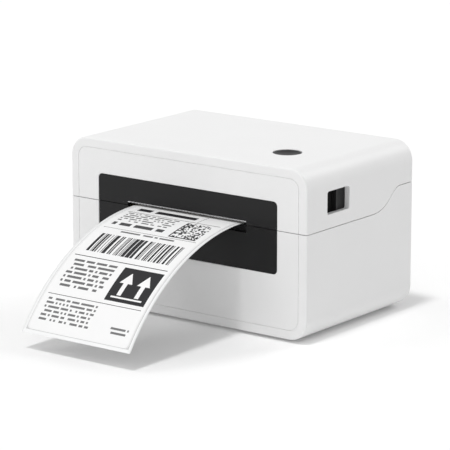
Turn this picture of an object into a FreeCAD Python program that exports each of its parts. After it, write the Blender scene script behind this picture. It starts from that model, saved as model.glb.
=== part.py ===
import FreeCAD, Part
import math
import os
import re
import Sketcher

# Desktop thermal label printer with a hinged lid, one printed label hanging from its front slot.
# Lengths are millimetres. X runs to the right as seen from the front, Y from front to back, Z up.
# The origin lies on the desk, midway between the label's free end and the back of the case.

# Driving sizes

DRIVING_SIZES = (
    # case
    ("case_width", 220.0),
    ("case_depth", 138.0),
    ("case_height", 127.3),
    ("corner_radius", 15.3),
    ("wall", 2.6),
    ("front_edge_radius", 1.4),
    ("rear_edge_radius", 2.4),
    ("groove_inset", 7.0),
    ("groove_width", 0.5),
    ("groove_depth", 0.4),
    # feet
    ("foot_height", 2.0),
    ("foot_radius", 8.0),
    ("foot_recess", 0.8),
    ("foot_inset_side", 30.0),
    ("foot_inset_end", 22.0),
    ("foot_edge", 0.6),
    # seam between lid and base
    ("lid_height", 47.3),
    ("ramp_rise", 16.2),
    ("ramp_start", 97.1),
    ("ramp_end", 115.6),
    ("ramp_foot_radius", 32.0),
    ("ramp_head_radius", 13.4),
    ("seam_gap", 0.5),
    # front panel, heights from the seam
    ("panel_width", 167.0),
    ("panel_below", 33.2),
    ("panel_above", 21.1),
    ("panel_radius", 3.6),
    ("panel_recess", 0.5),
    ("panel_edge", 0.35),
    ("lip_reach", 2.0),
    ("lip_thick", 1.6),
    ("fit_gap", 0.15),
    ("slot_margin", 5.5),
    ("slot_below", 5.8),
    ("slot_above", 2.2),
    ("shelf_reach", 5.3),
    ("shelf_thick", 1.6),
    # tear bar
    ("blade_thick", 1.5),
    ("blade_depth", 6.3),
    ("blade_nose", 0.4),
    ("blade_bevel", 1.3),
    ("tooth_width", 1.8),
    ("tooth_depth", 0.7),
    # label
    ("label_width", 100.0),
    ("label_margin", 3.0),
    ("label_end_gap", 3.0),
    ("paper_thick", 0.12),
    ("paper_gap", 0.02),
    ("label_rise", 0.3),
    ("label_curl", 160.0),
    ("label_end_height", 12.925),
    ("curl_start", 3.9),
    ("label_tail", 54.0),
    # hinge
    ("hinge_radius", 3.4),
    ("hinge_inset", 34.0),
    ("pin_radius", 1.5),
    ("ear_width", 8.0),
    ("knuckle_width", 6.0),
    ("ear_depth", 10.0),
    # clearances
    ("run_gap", 0.05),
    ("slide_gap", 0.3),
    ("wall_gap", 0.4),
    # side latches
    ("window_start", 25.4),
    ("window_length", 28.1),
    ("window_low", 10.5),
    ("window_height", 17.3),
    ("window_radius", 2.0),
    ("window_recess", 4.2),
    ("collar", 1.8),
    ("latch_thick", 2.4),
    ("latch_face", 12.8),
    ("latch_tail", 10.0),
    ("latch_overlap", 2.0),
    ("latch_travel", 8.0),
    ("latch_rib", 1.0),
    ("latch_rib_height", 1.4),
    ("hook_width", 6.0),
    ("hook_reach", 2.5),
    ("hook_height", 1.6),
    ("hook_drop", 6.5),
    ("hook_lead", 3.0),
    ("hook_slack", 0.8),
    ("hook_room", 3.0),
    ("hook_side_room", 0.9),
    ("catch_thick", 1.6),
    ("catch_length", 7.0),
    ("housing_wall", 2.0),
    ("spring_room", 12.0),
    ("spring_thick", 0.4),
    ("spring_width", 6.0),
    # feed button
    ("button_radius", 10.75),
    ("button_gap", 0.3),
    ("button_inset", 50.3),
    ("button_depth", 45.5),
    ("button_dish", 1.1),
    ("button_rim", 0.7),
    ("button_sink", 0.2),
    ("button_flange", 1.5),
    ("button_flange_thick", 1.5),
    ("button_travel", 1.2),
    ("stem_radius", 2.5),
    ("stem_length", 3.4),
    ("plunger_radius", 1.6),
    ("plunger_length", 2.5),
    ("switch_size", 6.2),
    ("switch_height", 3.5),
    ("board_thick", 1.6),
    ("button_board_length", 42.0),
    ("button_board_width", 20.0),
    # lid frame
    ("frame_thick", 2.0),
    ("frame_inset", 14.0),
    ("frame_step", 44.0),
    ("frame_end", 110.0),
    ("frame_rise", 7.7),
    ("frame_shelf_drop", 16.7),
    ("frame_front", 8.0),
    ("boss_radius", 4.0),
    ("boss_inset", 22.0),
    ("frame_boss_front", 12.0),
    ("frame_boss_rear", 8.0),
    # print head
    ("head_gap", 0.15),
    ("head_front", 7.6),
    ("head_length", 26.0),
    ("head_thick", 1.1),
    ("head_bead", 0.15),
    ("head_bead_width", 2.4),
    ("head_margin", 6.0),
    ("sink_thick", 3.0),
    ("sink_height", 9.0),
    ("sink_length", 33.0),
    ("sink_margin", 8.0),
    ("fin_thick", 1.2),
    ("fin_pitch", 4.0),
    ("pivot_radius", 1.5),
    ("pivot_depth", 37.5),
    ("pivot_rise", 7.0),
    ("pivot_ear", 2.4),
    ("head_spring_foot", 2.0),
    ("head_spring_bend", 5.0),
    ("head_spring_tip", 8.0),
    ("head_spring_width", 12.0),
    # platen and gears
    ("platen_radius", 7.0),
    ("platen_depth", 13.4),
    ("roller_margin", 4.0),
    ("nip_gap", 0.1),
    ("shaft_radius", 3.0),
    ("plate_margin", 14.0),
    ("plate_thick", 1.2),
    ("plate_front", 5.6),
    ("plate_drop", 1.0),
    ("gear_plate_back", 58.0),
    ("gear_plate_chin", 14.0),
    ("gear_plate_slant", 2.0),
    ("bearing_plate_back", 46.0),
    ("bearing_plate_chin", 10.0),
    ("bearing_plate_tail", 8.0),
    ("bracket_gap", 3.0),
    ("bracket_flange", 10.0),
    ("bracket_screw_inset", 5.0),
    ("bracket_bite", 2.0),
    ("bush_radius", 5.0),
    ("bush_flange", 1.5),
    ("bush_flange_thick", 1.2),
    ("bush_length", 3.6),
    ("gear_module", 0.8),
    ("gear_slack", 0.06),
    ("tooth_backlash", 0.14),
    ("gear_width", 4.0),
    ("gear_gap", 1.0),
    ("idler_angle", 50.0),
    ("motor_angle", 75.0),
    ("idler_pin_radius", 2.0),
    ("motor_radius", 17.5),
    ("motor_length", 22.0),
    ("motor_shaft_radius", 1.5),
    ("motor_collar_radius", 5.0),
    ("motor_ear_reach", 21.0),
    ("motor_ear_radius", 3.6),
    ("motor_screw_length", 3.6),
    ("clip_thick", 0.8),
    ("clip_reach", 1.6),
    # deck and label guides
    ("deck_drop", 0.7),
    ("deck_thick", 2.4),
    ("deck_opening", 22.0),
    ("deck_gear_gap", 3.0),
    ("deck_plate_gap", 6.0),
    ("guide_depth", 85.0),
    ("guide_length", 36.0),
    ("guide_height", 6.6),
    ("guide_thick", 2.4),
    ("guide_foot", 12.0),
    ("guide_stem", 4.0),
    ("guide_clear", 0.5),
    ("guide_inward", 28.0),
    ("guide_outward", 6.0),
    ("rack_module", 1.0),
    ("rack_height", 4.0),
    ("rack_back", 3.6),
    ("rack_drop", 1.0),
    ("rack_lead", 14.0),
    ("guide_post", 2.5),
    ("sensor_length", 14.0),
    ("sensor_width", 8.0),
    ("sensor_thick", 2.0),
    ("sensor_gap", 10.0),
    ("sensor_lens", 2.0),
    ("sensor_lens_depth", 0.5),
    # screws
    ("screw_radius", 1.5),
    ("screw_head_radius", 2.8),
    ("screw_head_height", 1.8),
    ("screw_socket", 1.3),
    ("screw_bite", 4.5),
    ("boss_bore", 6.0),
    ("standoff_bore", 7.5),
    ("post_radius", 4.0),
    ("post_inset_side", 20.0),
    ("post_inset_front", 42.0),
    ("post_inset_rear", 14.0),
    ("post_foot", 12.0),
    ("post_wall", 1.8),
    ("pilot_depth", 8.0),
    ("counterbore", 3.4),
    ("counterbore_depth", 5.6),
    # back of the case
    ("inlet_margin", 8.0),
    ("inlet_height", 8.0),
    ("bay_depth", 5.0),
    ("bay_inset", 22.0),
    ("bay_width", 80.0),
    ("bay_low", 10.0),
    ("bay_high", 36.0),
    ("bay_radius", 3.0),
    ("board_level", 14.0),
    ("board_edge", 6.0),
    ("board_width", 112.0),
    ("board_depth", 58.0),
    ("board_screw_edge", 1.2),
    ("socket_zone", 16.0),
    ("socket_rise", 6.2),
    ("power_inset", 42.0),
    ("power_radius", 4.0),
    ("power_bore", 2.9),
    ("power_pin", 1.0),
    ("power_pin_root", 12.0),
    ("power_pin_sink", 1.0),
    ("power_bore_depth", 9.0),
    ("power_case_width", 9.0),
    ("power_case_depth", 14.0),
    ("power_case_rise", 4.8),
    ("usb_inset", 66.0),
    ("usb_width", 12.0),
    ("usb_height", 11.0),
    ("usb_length", 16.0),
    ("usb_wall", 1.6),
    ("usb_hollow", 9.0),
    ("usb_tongue_width", 5.6),
    ("usb_tongue_thick", 3.2),
    ("usb_tongue_sink", 1.0),
    ("switch_inset", 18.0),
    ("switch_level", 23.0),
    ("rocker_width", 15.0),
    ("rocker_height", 9.0),
    ("rocker_sink", 2.0),
    ("rocker_rise", 1.6),
    ("rocker_crown", 0.9),
    ("rocker_taper", 0.6),
    ("rocker_belly", 1.0),
    ("rocker_keel", 3.0),
    ("axle_radius", 1.0),
    ("axle_reach", 1.0),
    ("switch_flange", 1.6),
    ("switch_rim", 1.0),
    ("switch_rim_thick", 1.2),
    ("switch_depth", 14.0),
    ("switch_bottom", 2.0),
)

PLATEN_TEETH = 20
IDLER_SMALL_TEETH = 14
IDLER_LARGE_TEETH = 32
PINION_TEETH = 14
GUIDE_TEETH = 16
RACK_TEETH = 21
BLADE_TEETH = 36
FIN_COUNT = 4
PRESSURE_ANGLE = math.radians(20.0)
# depth and height of a tooth from its pitch line, in modules
ROOT_DEPTH = 1.25
TIP_HEIGHT = 0.9
RACK_ROOT = 1.3
EDGE_TOLERANCE = 0.01

document = FreeCAD.newDocument("label_printer")
sheet = document.addObject("Spreadsheet::Sheet", "Sizes")
NAMES = {name for name, _ in DRIVING_SIZES}
nodes = []


def fill_sheet():
    """Writes each driving size into the sheet under its own alias."""
    for row, (name, number) in enumerate(DRIVING_SIZES, start=1):
        sheet.set(f"A{row}", name)
        sheet.set(f"B{row}", str(number))
        sheet.setAlias(f"B{row}", name)
    document.recompute()


# Formulas

def cell(words):
    """Turns a formula in plain words into one that reads the sheet's cells."""
    def swap(match):
        word = match.group(0)
        return "Sizes." + word if word in NAMES else word
    return re.sub(r"[a-z_]+", swap, str(words))


def number(words):
    """The present value of a formula, for the shapes and starting points that need one."""
    return float(sheet.evalExpression(cell(words)))


TOP = "(foot_height + case_height)"
CEILING = f"({TOP} - wall)"
SEAM = f"({TOP} - lid_height)"
SEAM_REAR = f"({SEAM} + ramp_rise)"
LEVEL = f"({SEAM} + label_rise)"
LABEL_SWEEP = f"acos(1 - ({LEVEL} - label_end_height) / label_curl)"
LABEL_REACH = f"(label_curl * sin({LABEL_SWEEP}) - curl_start)"
FRONT = f"(({LABEL_REACH} - case_depth) / 2)"
BACK = f"({FRONT} + case_depth)"
HALF = "(case_width / 2)"
SLOT_HALF = "(label_width / 2 + slot_margin)"
SLOT_LOW = f"({SEAM} - slot_below)"
SLOT_HIGH = f"({SEAM} + slot_above)"
HINGE_Y = f"({BACK} - hinge_radius)"
HINGE_Z = f"({SEAM_REAR} + seam_gap / 2 + hinge_radius)"
HINGE_X = f"({HALF} - hinge_inset)"
DECK_TOP = f"({LEVEL} - paper_thick - deck_drop)"
DECK_UNDER = f"({DECK_TOP} - deck_thick)"


def behind(words):
    """The Y of a plane that lies so far behind the front face."""
    return f"({FRONT} + {words})"


# Drawing in sketches

def bind(sketch, constraint, words):
    """Adds a dimension to a sketch and ties it to a formula."""
    index = sketch.addConstraint(constraint)
    sketch.setExpression(f"Constraints[{index}]", cell(words))


def pin_point(sketch, item, end, x, y):
    """Ties one end of a sketch item to a place given by two formulas."""
    bind(sketch, Sketcher.Constraint("DistanceX", -1, 1, item, end, number(x)), x)
    bind(sketch, Sketcher.Constraint("DistanceY", -1, 1, item, end, number(y)), y)


def point(x, y):
    """A place in a sketch's own plane."""
    return FreeCAD.Vector(x, y, 0)


def polygon(*corners):
    """Outline through corners, each a pair of formulas."""
    def draw(sketch):
        places = [point(number(x), number(y)) for x, y in corners]
        first = sketch.GeometryCount
        count = len(places)
        for index in range(count):
            line = Part.LineSegment(places[index], places[(index + 1) % count])
            sketch.addGeometry(line)
        for index in range(count):
            following = first + (index + 1) % count
            sketch.addConstraint(Sketcher.Constraint("Coincident", first + index, 2, following, 1))
        for index, (x, y) in enumerate(corners):
            pin_point(sketch, first + index, 1, x, y)
    return draw


def rectangle(left, right, low, high):
    """Outline of a rectangle between four formulas."""
    return polygon((left, low), (right, low), (right, high), (left, high))


def rounded(left, right, low, high, radius):
    """Outline of a rectangle with four equal round corners."""
    def draw(sketch):
        x0, x1, y0, y1, r = (number(words) for words in (left, right, low, high, radius))
        first = sketch.GeometryCount
        ends = (
            (point(x0 + r, y0), point(x1 - r, y0)),
            (point(x1, y0 + r), point(x1, y1 - r)),
            (point(x1 - r, y1), point(x0 + r, y1)),
            (point(x0, y1 - r), point(x0, y0 + r)),
        )
        centres = (
            point(x1 - r, y0 + r), point(x1 - r, y1 - r), point(x0 + r, y1 - r), point(x0 + r, y0 + r),
        )
        upright = FreeCAD.Vector(0, 0, 1)
        for index in range(4):
            sketch.addGeometry(Part.LineSegment(*ends[index]))
            start = math.pi / 2 * (index - 1)
            circle_part = Part.Circle(centres[index], upright, r)
            sketch.addGeometry(Part.ArcOfCircle(circle_part, start, start + math.pi / 2))
        for index in range(4):
            line = first + 2 * index
            arc = line + 1
            following = first + (2 * index + 2) % 8
            sketch.addConstraint(Sketcher.Constraint("Tangent", line, 2, arc, 1))
            sketch.addConstraint(Sketcher.Constraint("Tangent", arc, 2, following, 1))
            direction = "Horizontal" if index % 2 == 0 else "Vertical"
            sketch.addConstraint(Sketcher.Constraint(direction, line))
        for index in range(1, 4):
            sketch.addConstraint(Sketcher.Constraint("Equal", first + 1, first + 2 * index + 1))
        bind(sketch, Sketcher.Constraint("Radius", first + 1, r), radius)
        bind(sketch, Sketcher.Constraint("DistanceY", -1, 1, first, 1, y0), low)
        bind(sketch, Sketcher.Constraint("DistanceX", -1, 1, first + 2, 1, x1), right)
        bind(sketch, Sketcher.Constraint("DistanceY", -1, 1, first + 4, 1, y1), high)
        bind(sketch, Sketcher.Constraint("DistanceX", -1, 1, first + 6, 1, x0), left)
    return draw


def circle(x, y, radius):
    """Outline of a circle whose centre and radius are formulas."""
    def draw(sketch):
        centre = point(number(x), number(y))
        item = sketch.addGeometry(Part.Circle(centre, FreeCAD.Vector(0, 0, 1), number(radius)))
        pin_point(sketch, item, 3, x, y)
        bind(sketch, Sketcher.Constraint("Radius", item, number(radius)), radius)
    return draw


def outside_quarter(x, y, radius, spare):
    """What lies outside a round lower right corner, drawn a little larger than the corner."""
    def draw(sketch):
        cx, cy, r, s = (number(words) for words in (x, y, radius, spare))
        low = point(cx, cy - r)
        right = point(cx + r, cy)
        far = point(cx + r + s, cy)
        deep = point(cx + r + s, cy - r - s)
        under = point(cx, cy - r - s)
        whole = Part.Circle(point(cx, cy), FreeCAD.Vector(0, 0, 1), r)
        arc = sketch.addGeometry(Part.ArcOfCircle(whole, -math.pi / 2, 0.0))
        chain = [Part.LineSegment(right, far), Part.LineSegment(far, deep)]
        chain += [Part.LineSegment(deep, under), Part.LineSegment(under, low)]
        lines = [sketch.addGeometry(line) for line in chain]
        sketch.addConstraint(Sketcher.Constraint("Coincident", arc, 2, lines[0], 1))
        for before, after in zip(lines, lines[1:]):
            sketch.addConstraint(Sketcher.Constraint("Coincident", before, 2, after, 1))
        sketch.addConstraint(Sketcher.Constraint("Coincident", lines[3], 2, arc, 1))
        for line, direction in zip(lines, ("Horizontal", "Vertical", "Horizontal", "Vertical")):
            sketch.addConstraint(Sketcher.Constraint(direction, line))
        bind(sketch, Sketcher.Constraint("Radius", arc, r), radius)
        pin_point(sketch, arc, 3, x, y)
        bind(sketch, Sketcher.Constraint("DistanceX", -1, 1, arc, 1, cx), x)
        bind(sketch, Sketcher.Constraint("DistanceY", -1, 1, arc, 2, cy), y)
        pin_point(sketch, lines[2], 1, f"{x} + {radius} + {spare}", f"{y} - {radius} - {spare}")
    return draw


# Building solids

PLANE_NORMAL = {"XY": 1, "XZ": -1, "YZ": 1}


def keep(node, label):
    """Takes an object as a finished piece of the printer."""
    node.Label = label
    nodes.append(node)
    return node


def new_body(name):
    """An empty body for one piece."""
    return document.addObject("PartDesign::Body", "body_" + name)


def sketch_on(body, plane, offset, outlines):
    """A sketch on a plane of the body's own origin, moved along the world axis by a formula."""
    sketch = body.newObject("Sketcher::SketchObject", "outline")
    role = plane + "_Plane"
    support = [item for item in body.Origin.OriginFeatures if item.Role == role][0]
    sketch.AttachmentSupport = (support, [""])
    sketch.MapMode = "FlatFace"
    sketch.setExpression("AttachmentOffset.Base.z", cell(f"{PLANE_NORMAL[plane]} * {offset}"))
    for outline in outlines:
        outline(sketch)
    return sketch


def extrude(body, kind, natural, plane, offset, toward, length, outlines):
    """Pad or pocket along the plane's world axis; toward is 1, -1 or 0 for both ways."""
    sketch = sketch_on(body, plane, offset, outlines)
    feature = body.newObject("PartDesign::" + kind, kind.lower())
    feature.Profile = sketch
    feature.setExpression("Length", cell(length))
    if toward == 0:
        feature.SideType = "Symmetric"
    else:
        feature.Reversed = toward != natural
    return feature


def pad(body, plane, offset, toward, length, *outlines):
    return extrude(body, "Pad", PLANE_NORMAL[plane], plane, offset, toward, length, outlines)


def pocket(body, plane, offset, toward, length, *outlines):
    return extrude(body, "Pocket", -PLANE_NORMAL[plane], plane, offset, toward, length, outlines)


def dress(body, kind, dimension, words, test):
    """Fillet or chamfer on the edges of the body that pass a test."""
    document.recompute()
    base = body.Tip
    chosen = [f"Edge{index}" for index, edge in enumerate(base.Shape.Edges, start=1) if test(edge)]
    feature = body.newObject("PartDesign::" + kind, kind.lower())
    feature.Base = (base, chosen)
    feature.setExpression(dimension, cell(words))
    return feature


def fillet(body, radius, test):
    return dress(body, "Fillet", "Radius", radius, test)


def chamfer(body, size, test):
    return dress(body, "Chamfer", "Size", size, test)


def near(a, b):
    """Whether two measures are the same to a ten-thousandth."""
    return abs(a - b) < 1e-4


def on_plane(axis, words):
    """Test for edges that lie in a plane square to an axis."""
    place = number(words)

    def test(edge):
        box = edge.BoundBox
        low = {"X": box.XMin, "Y": box.YMin, "Z": box.ZMin}[axis]
        high = {"X": box.XMax, "Y": box.YMax, "Z": box.ZMax}[axis]
        return near(low, place) and near(high, place)
    return test


def along_x(y, z):
    """Test for edges that run along X through a place given by two formulas."""
    in_y = on_plane("Y", y)
    in_z = on_plane("Z", z)
    return lambda edge: in_y(edge) and in_z(edge)


def place(item, x="0", y="0", z="0"):
    """Moves an object to a place given by three formulas."""
    for axis, words in zip("xyz", (x, y, z)):
        item.setExpression("Placement.Base." + axis, cell(words))
    return item


def block(x, y, z):
    """Box between pairs of formulas on each axis."""
    box = document.addObject("Part::Box", "block")
    for name, (low, high) in zip(("Length", "Width", "Height"), (x, y, z)):
        box.setExpression(name, cell(f"({high}) - ({low})"))
    return place(box, x[0], y[0], z[0])


AXIS_TURNS = {
    "X": FreeCAD.Rotation(FreeCAD.Vector(0, 1, 0), 90),
    "Y": FreeCAD.Rotation(FreeCAD.Vector(1, 0, 0), -90),
    "Z": FreeCAD.Rotation(),
}


def rod(axis, x, y, z, radius, length):
    """Cylinder that starts at a place and runs along an axis."""
    cylinder = document.addObject("Part::Cylinder", "rod")
    cylinder.Placement = FreeCAD.Placement(FreeCAD.Vector(), AXIS_TURNS[axis])
    cylinder.setExpression("Radius", cell(radius))
    cylinder.setExpression("Height", cell(length))
    return place(cylinder, x, y, z)


def fuse(*shapes):
    """One solid from several that touch or overlap."""
    joined = document.addObject("Part::MultiFuse", "joined")
    joined.Shapes = list(shapes)
    return joined


def cut(base, *tools):
    """A solid with others taken out of it."""
    difference = document.addObject("Part::Cut", "difference")
    difference.Base = base
    difference.Tool = tools[0] if len(tools) == 1 else fuse(*tools)
    return difference


def group(*shapes):
    """Separate solids kept together as one piece, such as a set of screws."""
    gathered = document.addObject("Part::Compound", "gathered")
    gathered.Links = list(shapes)
    return gathered


def formed(shape, x="0", y="0", z="0"):
    """Piece whose shape is worked out from the sheet by the functions below."""
    item = document.addObject("Part::Feature", "formed")
    item.Shape = shape
    return place(item, x, y, z)


def screw(x, y, z, toward, length):
    """Socket screw whose head rests on height z and whose shank runs up (1) or down (-1)."""
    head_low = z if toward < 0 else f"{z} - screw_head_height"
    shank_low = f"{z} - {length}" if toward < 0 else z
    socket_low = f"{z} + screw_head_height / 2" if toward < 0 else f"{z} - screw_head_height"
    head = rod("Z", x, y, head_low, "screw_head_radius", "screw_head_height")
    shank = rod("Z", x, y, shank_low, "screw_radius", length)
    socket = document.addObject("Part::Prism", "socket")
    socket.Polygon = 6
    socket.setExpression("Circumradius", cell("screw_socket"))
    socket.setExpression("Height", cell("screw_head_height / 2"))
    place(socket, x, y, socket_low)
    return cut(fuse(head, shank), socket)


# Case halves

def outer_outline(inset):
    """Round-cornered section of the case, drawn in by an inset."""
    return rounded(
        f"-{HALF} + {inset}", f"{HALF} - {inset}", f"foot_height + {inset}", f"{TOP} - {inset}",
        f"corner_radius - {inset}",
    )


def panel_outline(grow):
    """Outline of the whole front panel, let out by a margin."""
    return rounded(
        f"-panel_width / 2 - {grow}", f"panel_width / 2 + {grow}",
        f"{SEAM} - panel_below - {grow}", f"{SEAM} + panel_above + {grow}",
        f"panel_radius + {grow}",
    )


def case_half(name, upper):
    """One half of the hollow case: the whole rounded box, cut along the stepped seam."""
    body = new_body(name)
    pad(body, "XZ", FRONT, 1, "case_depth", outer_outline("0"))
    fillet(body, "front_edge_radius", on_plane("Y", FRONT))
    fillet(body, "rear_edge_radius", on_plane("Y", BACK))
    sign = "+" if upper else "-"
    low_seam = f"({SEAM} {sign} seam_gap / 2)"
    high_seam = f"({SEAM_REAR} {sign} seam_gap / 2)"
    limit = "(-wall)" if upper else f"({TOP} + wall)"
    seam = (
        (f"{FRONT} - wall", limit), (f"{BACK} + wall", limit), (f"{BACK} + wall", high_seam),
        (behind("ramp_end"), high_seam), (behind("ramp_start"), low_seam), (f"{FRONT} - wall", low_seam),
    )
    pocket(body, "YZ", "0", 0, "2 * case_width", polygon(*seam))
    fillet(body, "ramp_foot_radius", along_x(behind("ramp_start"), low_seam))
    fillet(body, "ramp_head_radius", along_x(behind("ramp_end"), high_seam))
    pocket(body, "XZ", FRONT, 1, "groove_depth",
           outer_outline("groove_inset"), outer_outline("(groove_inset + groove_width)"))
    pocket(body, "XZ", behind("wall"), 1, "case_depth - 2 * wall", outer_outline("wall"))
    pocket(body, "XZ", FRONT, 1, "wall", panel_outline("0"))
    chamfer(body, "panel_edge", panel_opening_edge)
    return body


def panel_opening_edge(edge):
    """Test for the front edges of the panel opening, without those on the seam."""
    box = edge.BoundBox
    flat = on_plane("Y", FRONT)(edge)
    half_width = number("panel_width / 2") + EDGE_TOLERANCE
    low = number(f"{SEAM} - panel_below") - EDGE_TOLERANCE
    high = number(f"{SEAM} + panel_above") + EDGE_TOLERANCE
    inside = abs(box.Center.x) < half_width and low < box.ZMin and box.ZMax < high
    return flat and inside and not near(box.XLength, 2 * number(HALF))


def make_top_cover():
    body = case_half("top_cover", True)
    add_hinge_knuckles(body)
    add_latch_windows(body)
    add_button_hole(body)
    add_cover_bosses(body)
    return keep(body, "top_cover")


def add_hinge_knuckles(body):
    """Rounds the lid's rear lower edge about the hinge and adds the bored knuckles."""
    pocket(body, "YZ", "0", 0, "2 * case_width", outside_quarter(HINGE_Y, HINGE_Z, "hinge_radius", "wall"))
    reach = "(ear_width / 2 + slide_gap)"
    for side in (1, -1):
        middle = f"{side} * {HINGE_X}"
        for way in (1, -1):
            start = f"({middle} + {way} * {reach})"
            pad(body, "YZ", start, way, "knuckle_width", circle(HINGE_Y, HINGE_Z, "hinge_radius"))
        notch = rectangle(
            f"{HINGE_Y} - hinge_radius - wall_gap", f"{BACK} + wall",
            f"{SEAM_REAR} - wall", f"{HINGE_Z} + hinge_radius + wall_gap",
        )
        pocket(body, "YZ", f"({middle})", 0, f"2 * {reach}", notch)
        bore = circle(HINGE_Y, HINGE_Z, "pin_radius + run_gap")
        pocket(body, "YZ", f"({middle})", 0, f"2 * ({reach} + knuckle_width) + wall", bore)


def window_outline(grow):
    """Outline of a latch window, let out by a margin."""
    low = f"({SEAM} + window_low)"
    return rounded(
        behind(f"window_start - {grow}"), behind(f"window_start + window_length + {grow}"),
        f"{low} - {grow}", f"{low} + window_height + {grow}", f"window_radius + {grow}",
    )


def add_latch_windows(body):
    for side in (1, -1):
        inner = f"({side} * ({HALF} - wall))"
        pad(body, "YZ", inner, -side, "window_recess - wall", window_outline("collar"))
        pocket(body, "YZ", f"({side} * {HALF})", -side, "window_recess", window_outline("0"))


BUTTON_X = f"({HALF} - button_inset)"
BUTTON_Y = behind("button_depth")


def add_button_hole(body):
    pocket(body, "XY", TOP, -1, "wall", circle(BUTTON_X, BUTTON_Y, "button_radius + button_gap"))


FRAME_LOW = f"({LEVEL} + frame_rise)"
FRAME_SHELF = f"({CEILING} - frame_shelf_drop)"
BOSS_X = f"({HALF} - boss_inset)"
SHELF_BOSS_Y = behind("frame_step / 2")
FRAME_HALF = f"({HALF} - frame_inset)"
FRAME_BOSS_YS = (behind("frame_step + frame_boss_front"), behind("frame_end - frame_boss_rear"))


def cover_boss_places():
    """Places of the bosses under the lid's ceiling with the heights of their ends."""
    low_end = f"({FRAME_LOW} + frame_thick)"
    spots = []
    for side in (1, -1):
        spots.append((f"{side} * {BOSS_X}", SHELF_BOSS_Y, FRAME_SHELF))
        spots += [(f"{side} * {BOSS_X}", y, low_end) for y in FRAME_BOSS_YS]
    return spots


def button_boss_places():
    shift = "(button_board_length / 2 - boss_radius)"
    return [(f"{BUTTON_X} + {way} * {shift}", BUTTON_Y, BOARD_TOP) for way in (1, -1)]


def add_cover_bosses(body):
    for x, y, end in cover_boss_places() + button_boss_places():
        length = f"({TOP} - wall / 2 - {end})"
        pad(body, "XY", end, 1, length, circle(x, y, "boss_radius - wall_gap"))
        pocket(body, "XY", end, 1, "boss_bore", circle(x, y, "screw_radius"))


FLANGE_TOP = f"({CEILING} - slide_gap)"
FLANGE_UNDER = f"({FLANGE_TOP} - button_flange_thick)"
STEM_END = f"({FLANGE_UNDER} - stem_length)"
BOARD_TOP = f"({STEM_END} - button_travel - slide_gap - switch_height)"


def make_base_shell():
    body = case_half("base_shell", False)
    add_hinge_ears(body)
    add_latch_catches(body)
    add_rear_openings(body)
    add_base_bosses(body)
    return keep(body, "base_shell")


def add_hinge_ears(body):
    """Two ears on the rear wall that carry the hinge pins."""
    ear = "(hinge_radius - slide_gap)"
    stem = rectangle(f"{HINGE_Y} - {ear}", f"{HINGE_Y} + {ear}", f"{SEAM_REAR} - ear_depth", HINGE_Z)
    for side in (1, -1):
        middle = f"({side} * {HINGE_X})"
        pad(body, "YZ", middle, 0, "ear_width", stem)
        pad(body, "YZ", middle, 0, "ear_width", circle(HINGE_Y, HINGE_Z, ear))
        pocket(body, "YZ", middle, 0, "2 * ear_width", circle(HINGE_Y, HINGE_Z, "pin_radius"))


LATCH_OUT = f"({HALF} - window_recess - slide_gap)"
LATCH_IN = f"({LATCH_OUT} - latch_thick)"
HOOK_BACK = "(window_start + window_length - latch_face + hook_width + hook_lead)"
HOOK_TIP = f"({SEAM} - hook_drop)"
CATCH_LOW = f"({HOOK_TIP} + hook_height + slide_gap)"


def add_latch_catches(body):
    """Ledges on the side walls under which the latch hooks reach."""
    front = behind(f"({HOOK_BACK} + hook_slack)")
    for side in (1, -1):
        near_x = f"{side} * ({LATCH_IN} - slide_gap)"
        far_x = f"{side} * ({HALF} - wall / 2)"
        left, right = (near_x, far_x) if side > 0 else (far_x, near_x)
        ledge = rectangle(left, right, front, f"{front} + catch_length")
        pad(body, "XY", CATCH_LOW, 1, "catch_thick", ledge)


BAY_FLOOR = f"({BACK} - bay_depth)"
BAY_RIGHT = f"({HALF} - bay_inset)"
BAY_LEFT = f"({BAY_RIGHT} - bay_width)"
POWER_X = f"({BAY_RIGHT} - power_inset)"
USB_X = f"({BAY_RIGHT} - usb_inset)"
SWITCH_X = f"({BAY_RIGHT} - switch_inset)"
SOCKET_Z = "(board_level + board_thick + socket_rise)"


def bay_outline(grow):
    """Outline of the sunk connector bay, let out by a margin."""
    return rounded(
        f"{BAY_LEFT} - {grow}", f"{BAY_RIGHT} + {grow}", f"bay_low - {grow}", f"bay_high + {grow}",
        f"bay_radius + {grow}",
    )


def socket_outline(x, z, width, height):
    """Rectangle centred on a socket."""
    return rectangle(
        f"{x} - {width} / 2", f"{x} + {width} / 2", f"{z} - {height} / 2", f"{z} + {height} / 2",
    )


def add_rear_openings(body):
    """Label inlet and the sunk bay with the holes for switch, power and data."""
    half_inlet = "(label_width / 2 + inlet_margin)"
    inlet = rounded(f"-{half_inlet}", half_inlet, DECK_TOP, f"{DECK_TOP} + inlet_height", "window_radius")
    pocket(body, "XZ", BACK, -1, "wall", inlet)
    pad(body, "XZ", f"({BACK} - wall / 2)", -1, "bay_depth + wall / 2", bay_outline("wall"))
    pocket(body, "XZ", BACK, -1, "bay_depth", bay_outline("0"))
    holes = (
        circle(POWER_X, SOCKET_Z, "power_radius + fit_gap"),
        socket_outline(USB_X, SOCKET_Z, "(usb_width + 2 * fit_gap)", "(usb_height + 2 * fit_gap)"),
        socket_outline(SWITCH_X, "switch_level", SWITCH_WIDTH, SWITCH_HEIGHT),
    )
    for hole in holes:
        pocket(body, "XZ", BAY_FLOOR, -1, "wall", hole)


SWITCH_WIDTH = "(rocker_width + 2 * switch_flange)"
SWITCH_HEIGHT = "(rocker_height + 2 * switch_flange)"


def corner_places(inset_x, inset_front, inset_back):
    """Four places set in from the case's sides, front and back."""
    half = f"({HALF} - {inset_x})"
    rows = (behind(inset_front), f"({BACK} - {inset_back})")
    return [(f"{side} * {half}", y) for y in rows for side in (-1, 1)]


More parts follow.
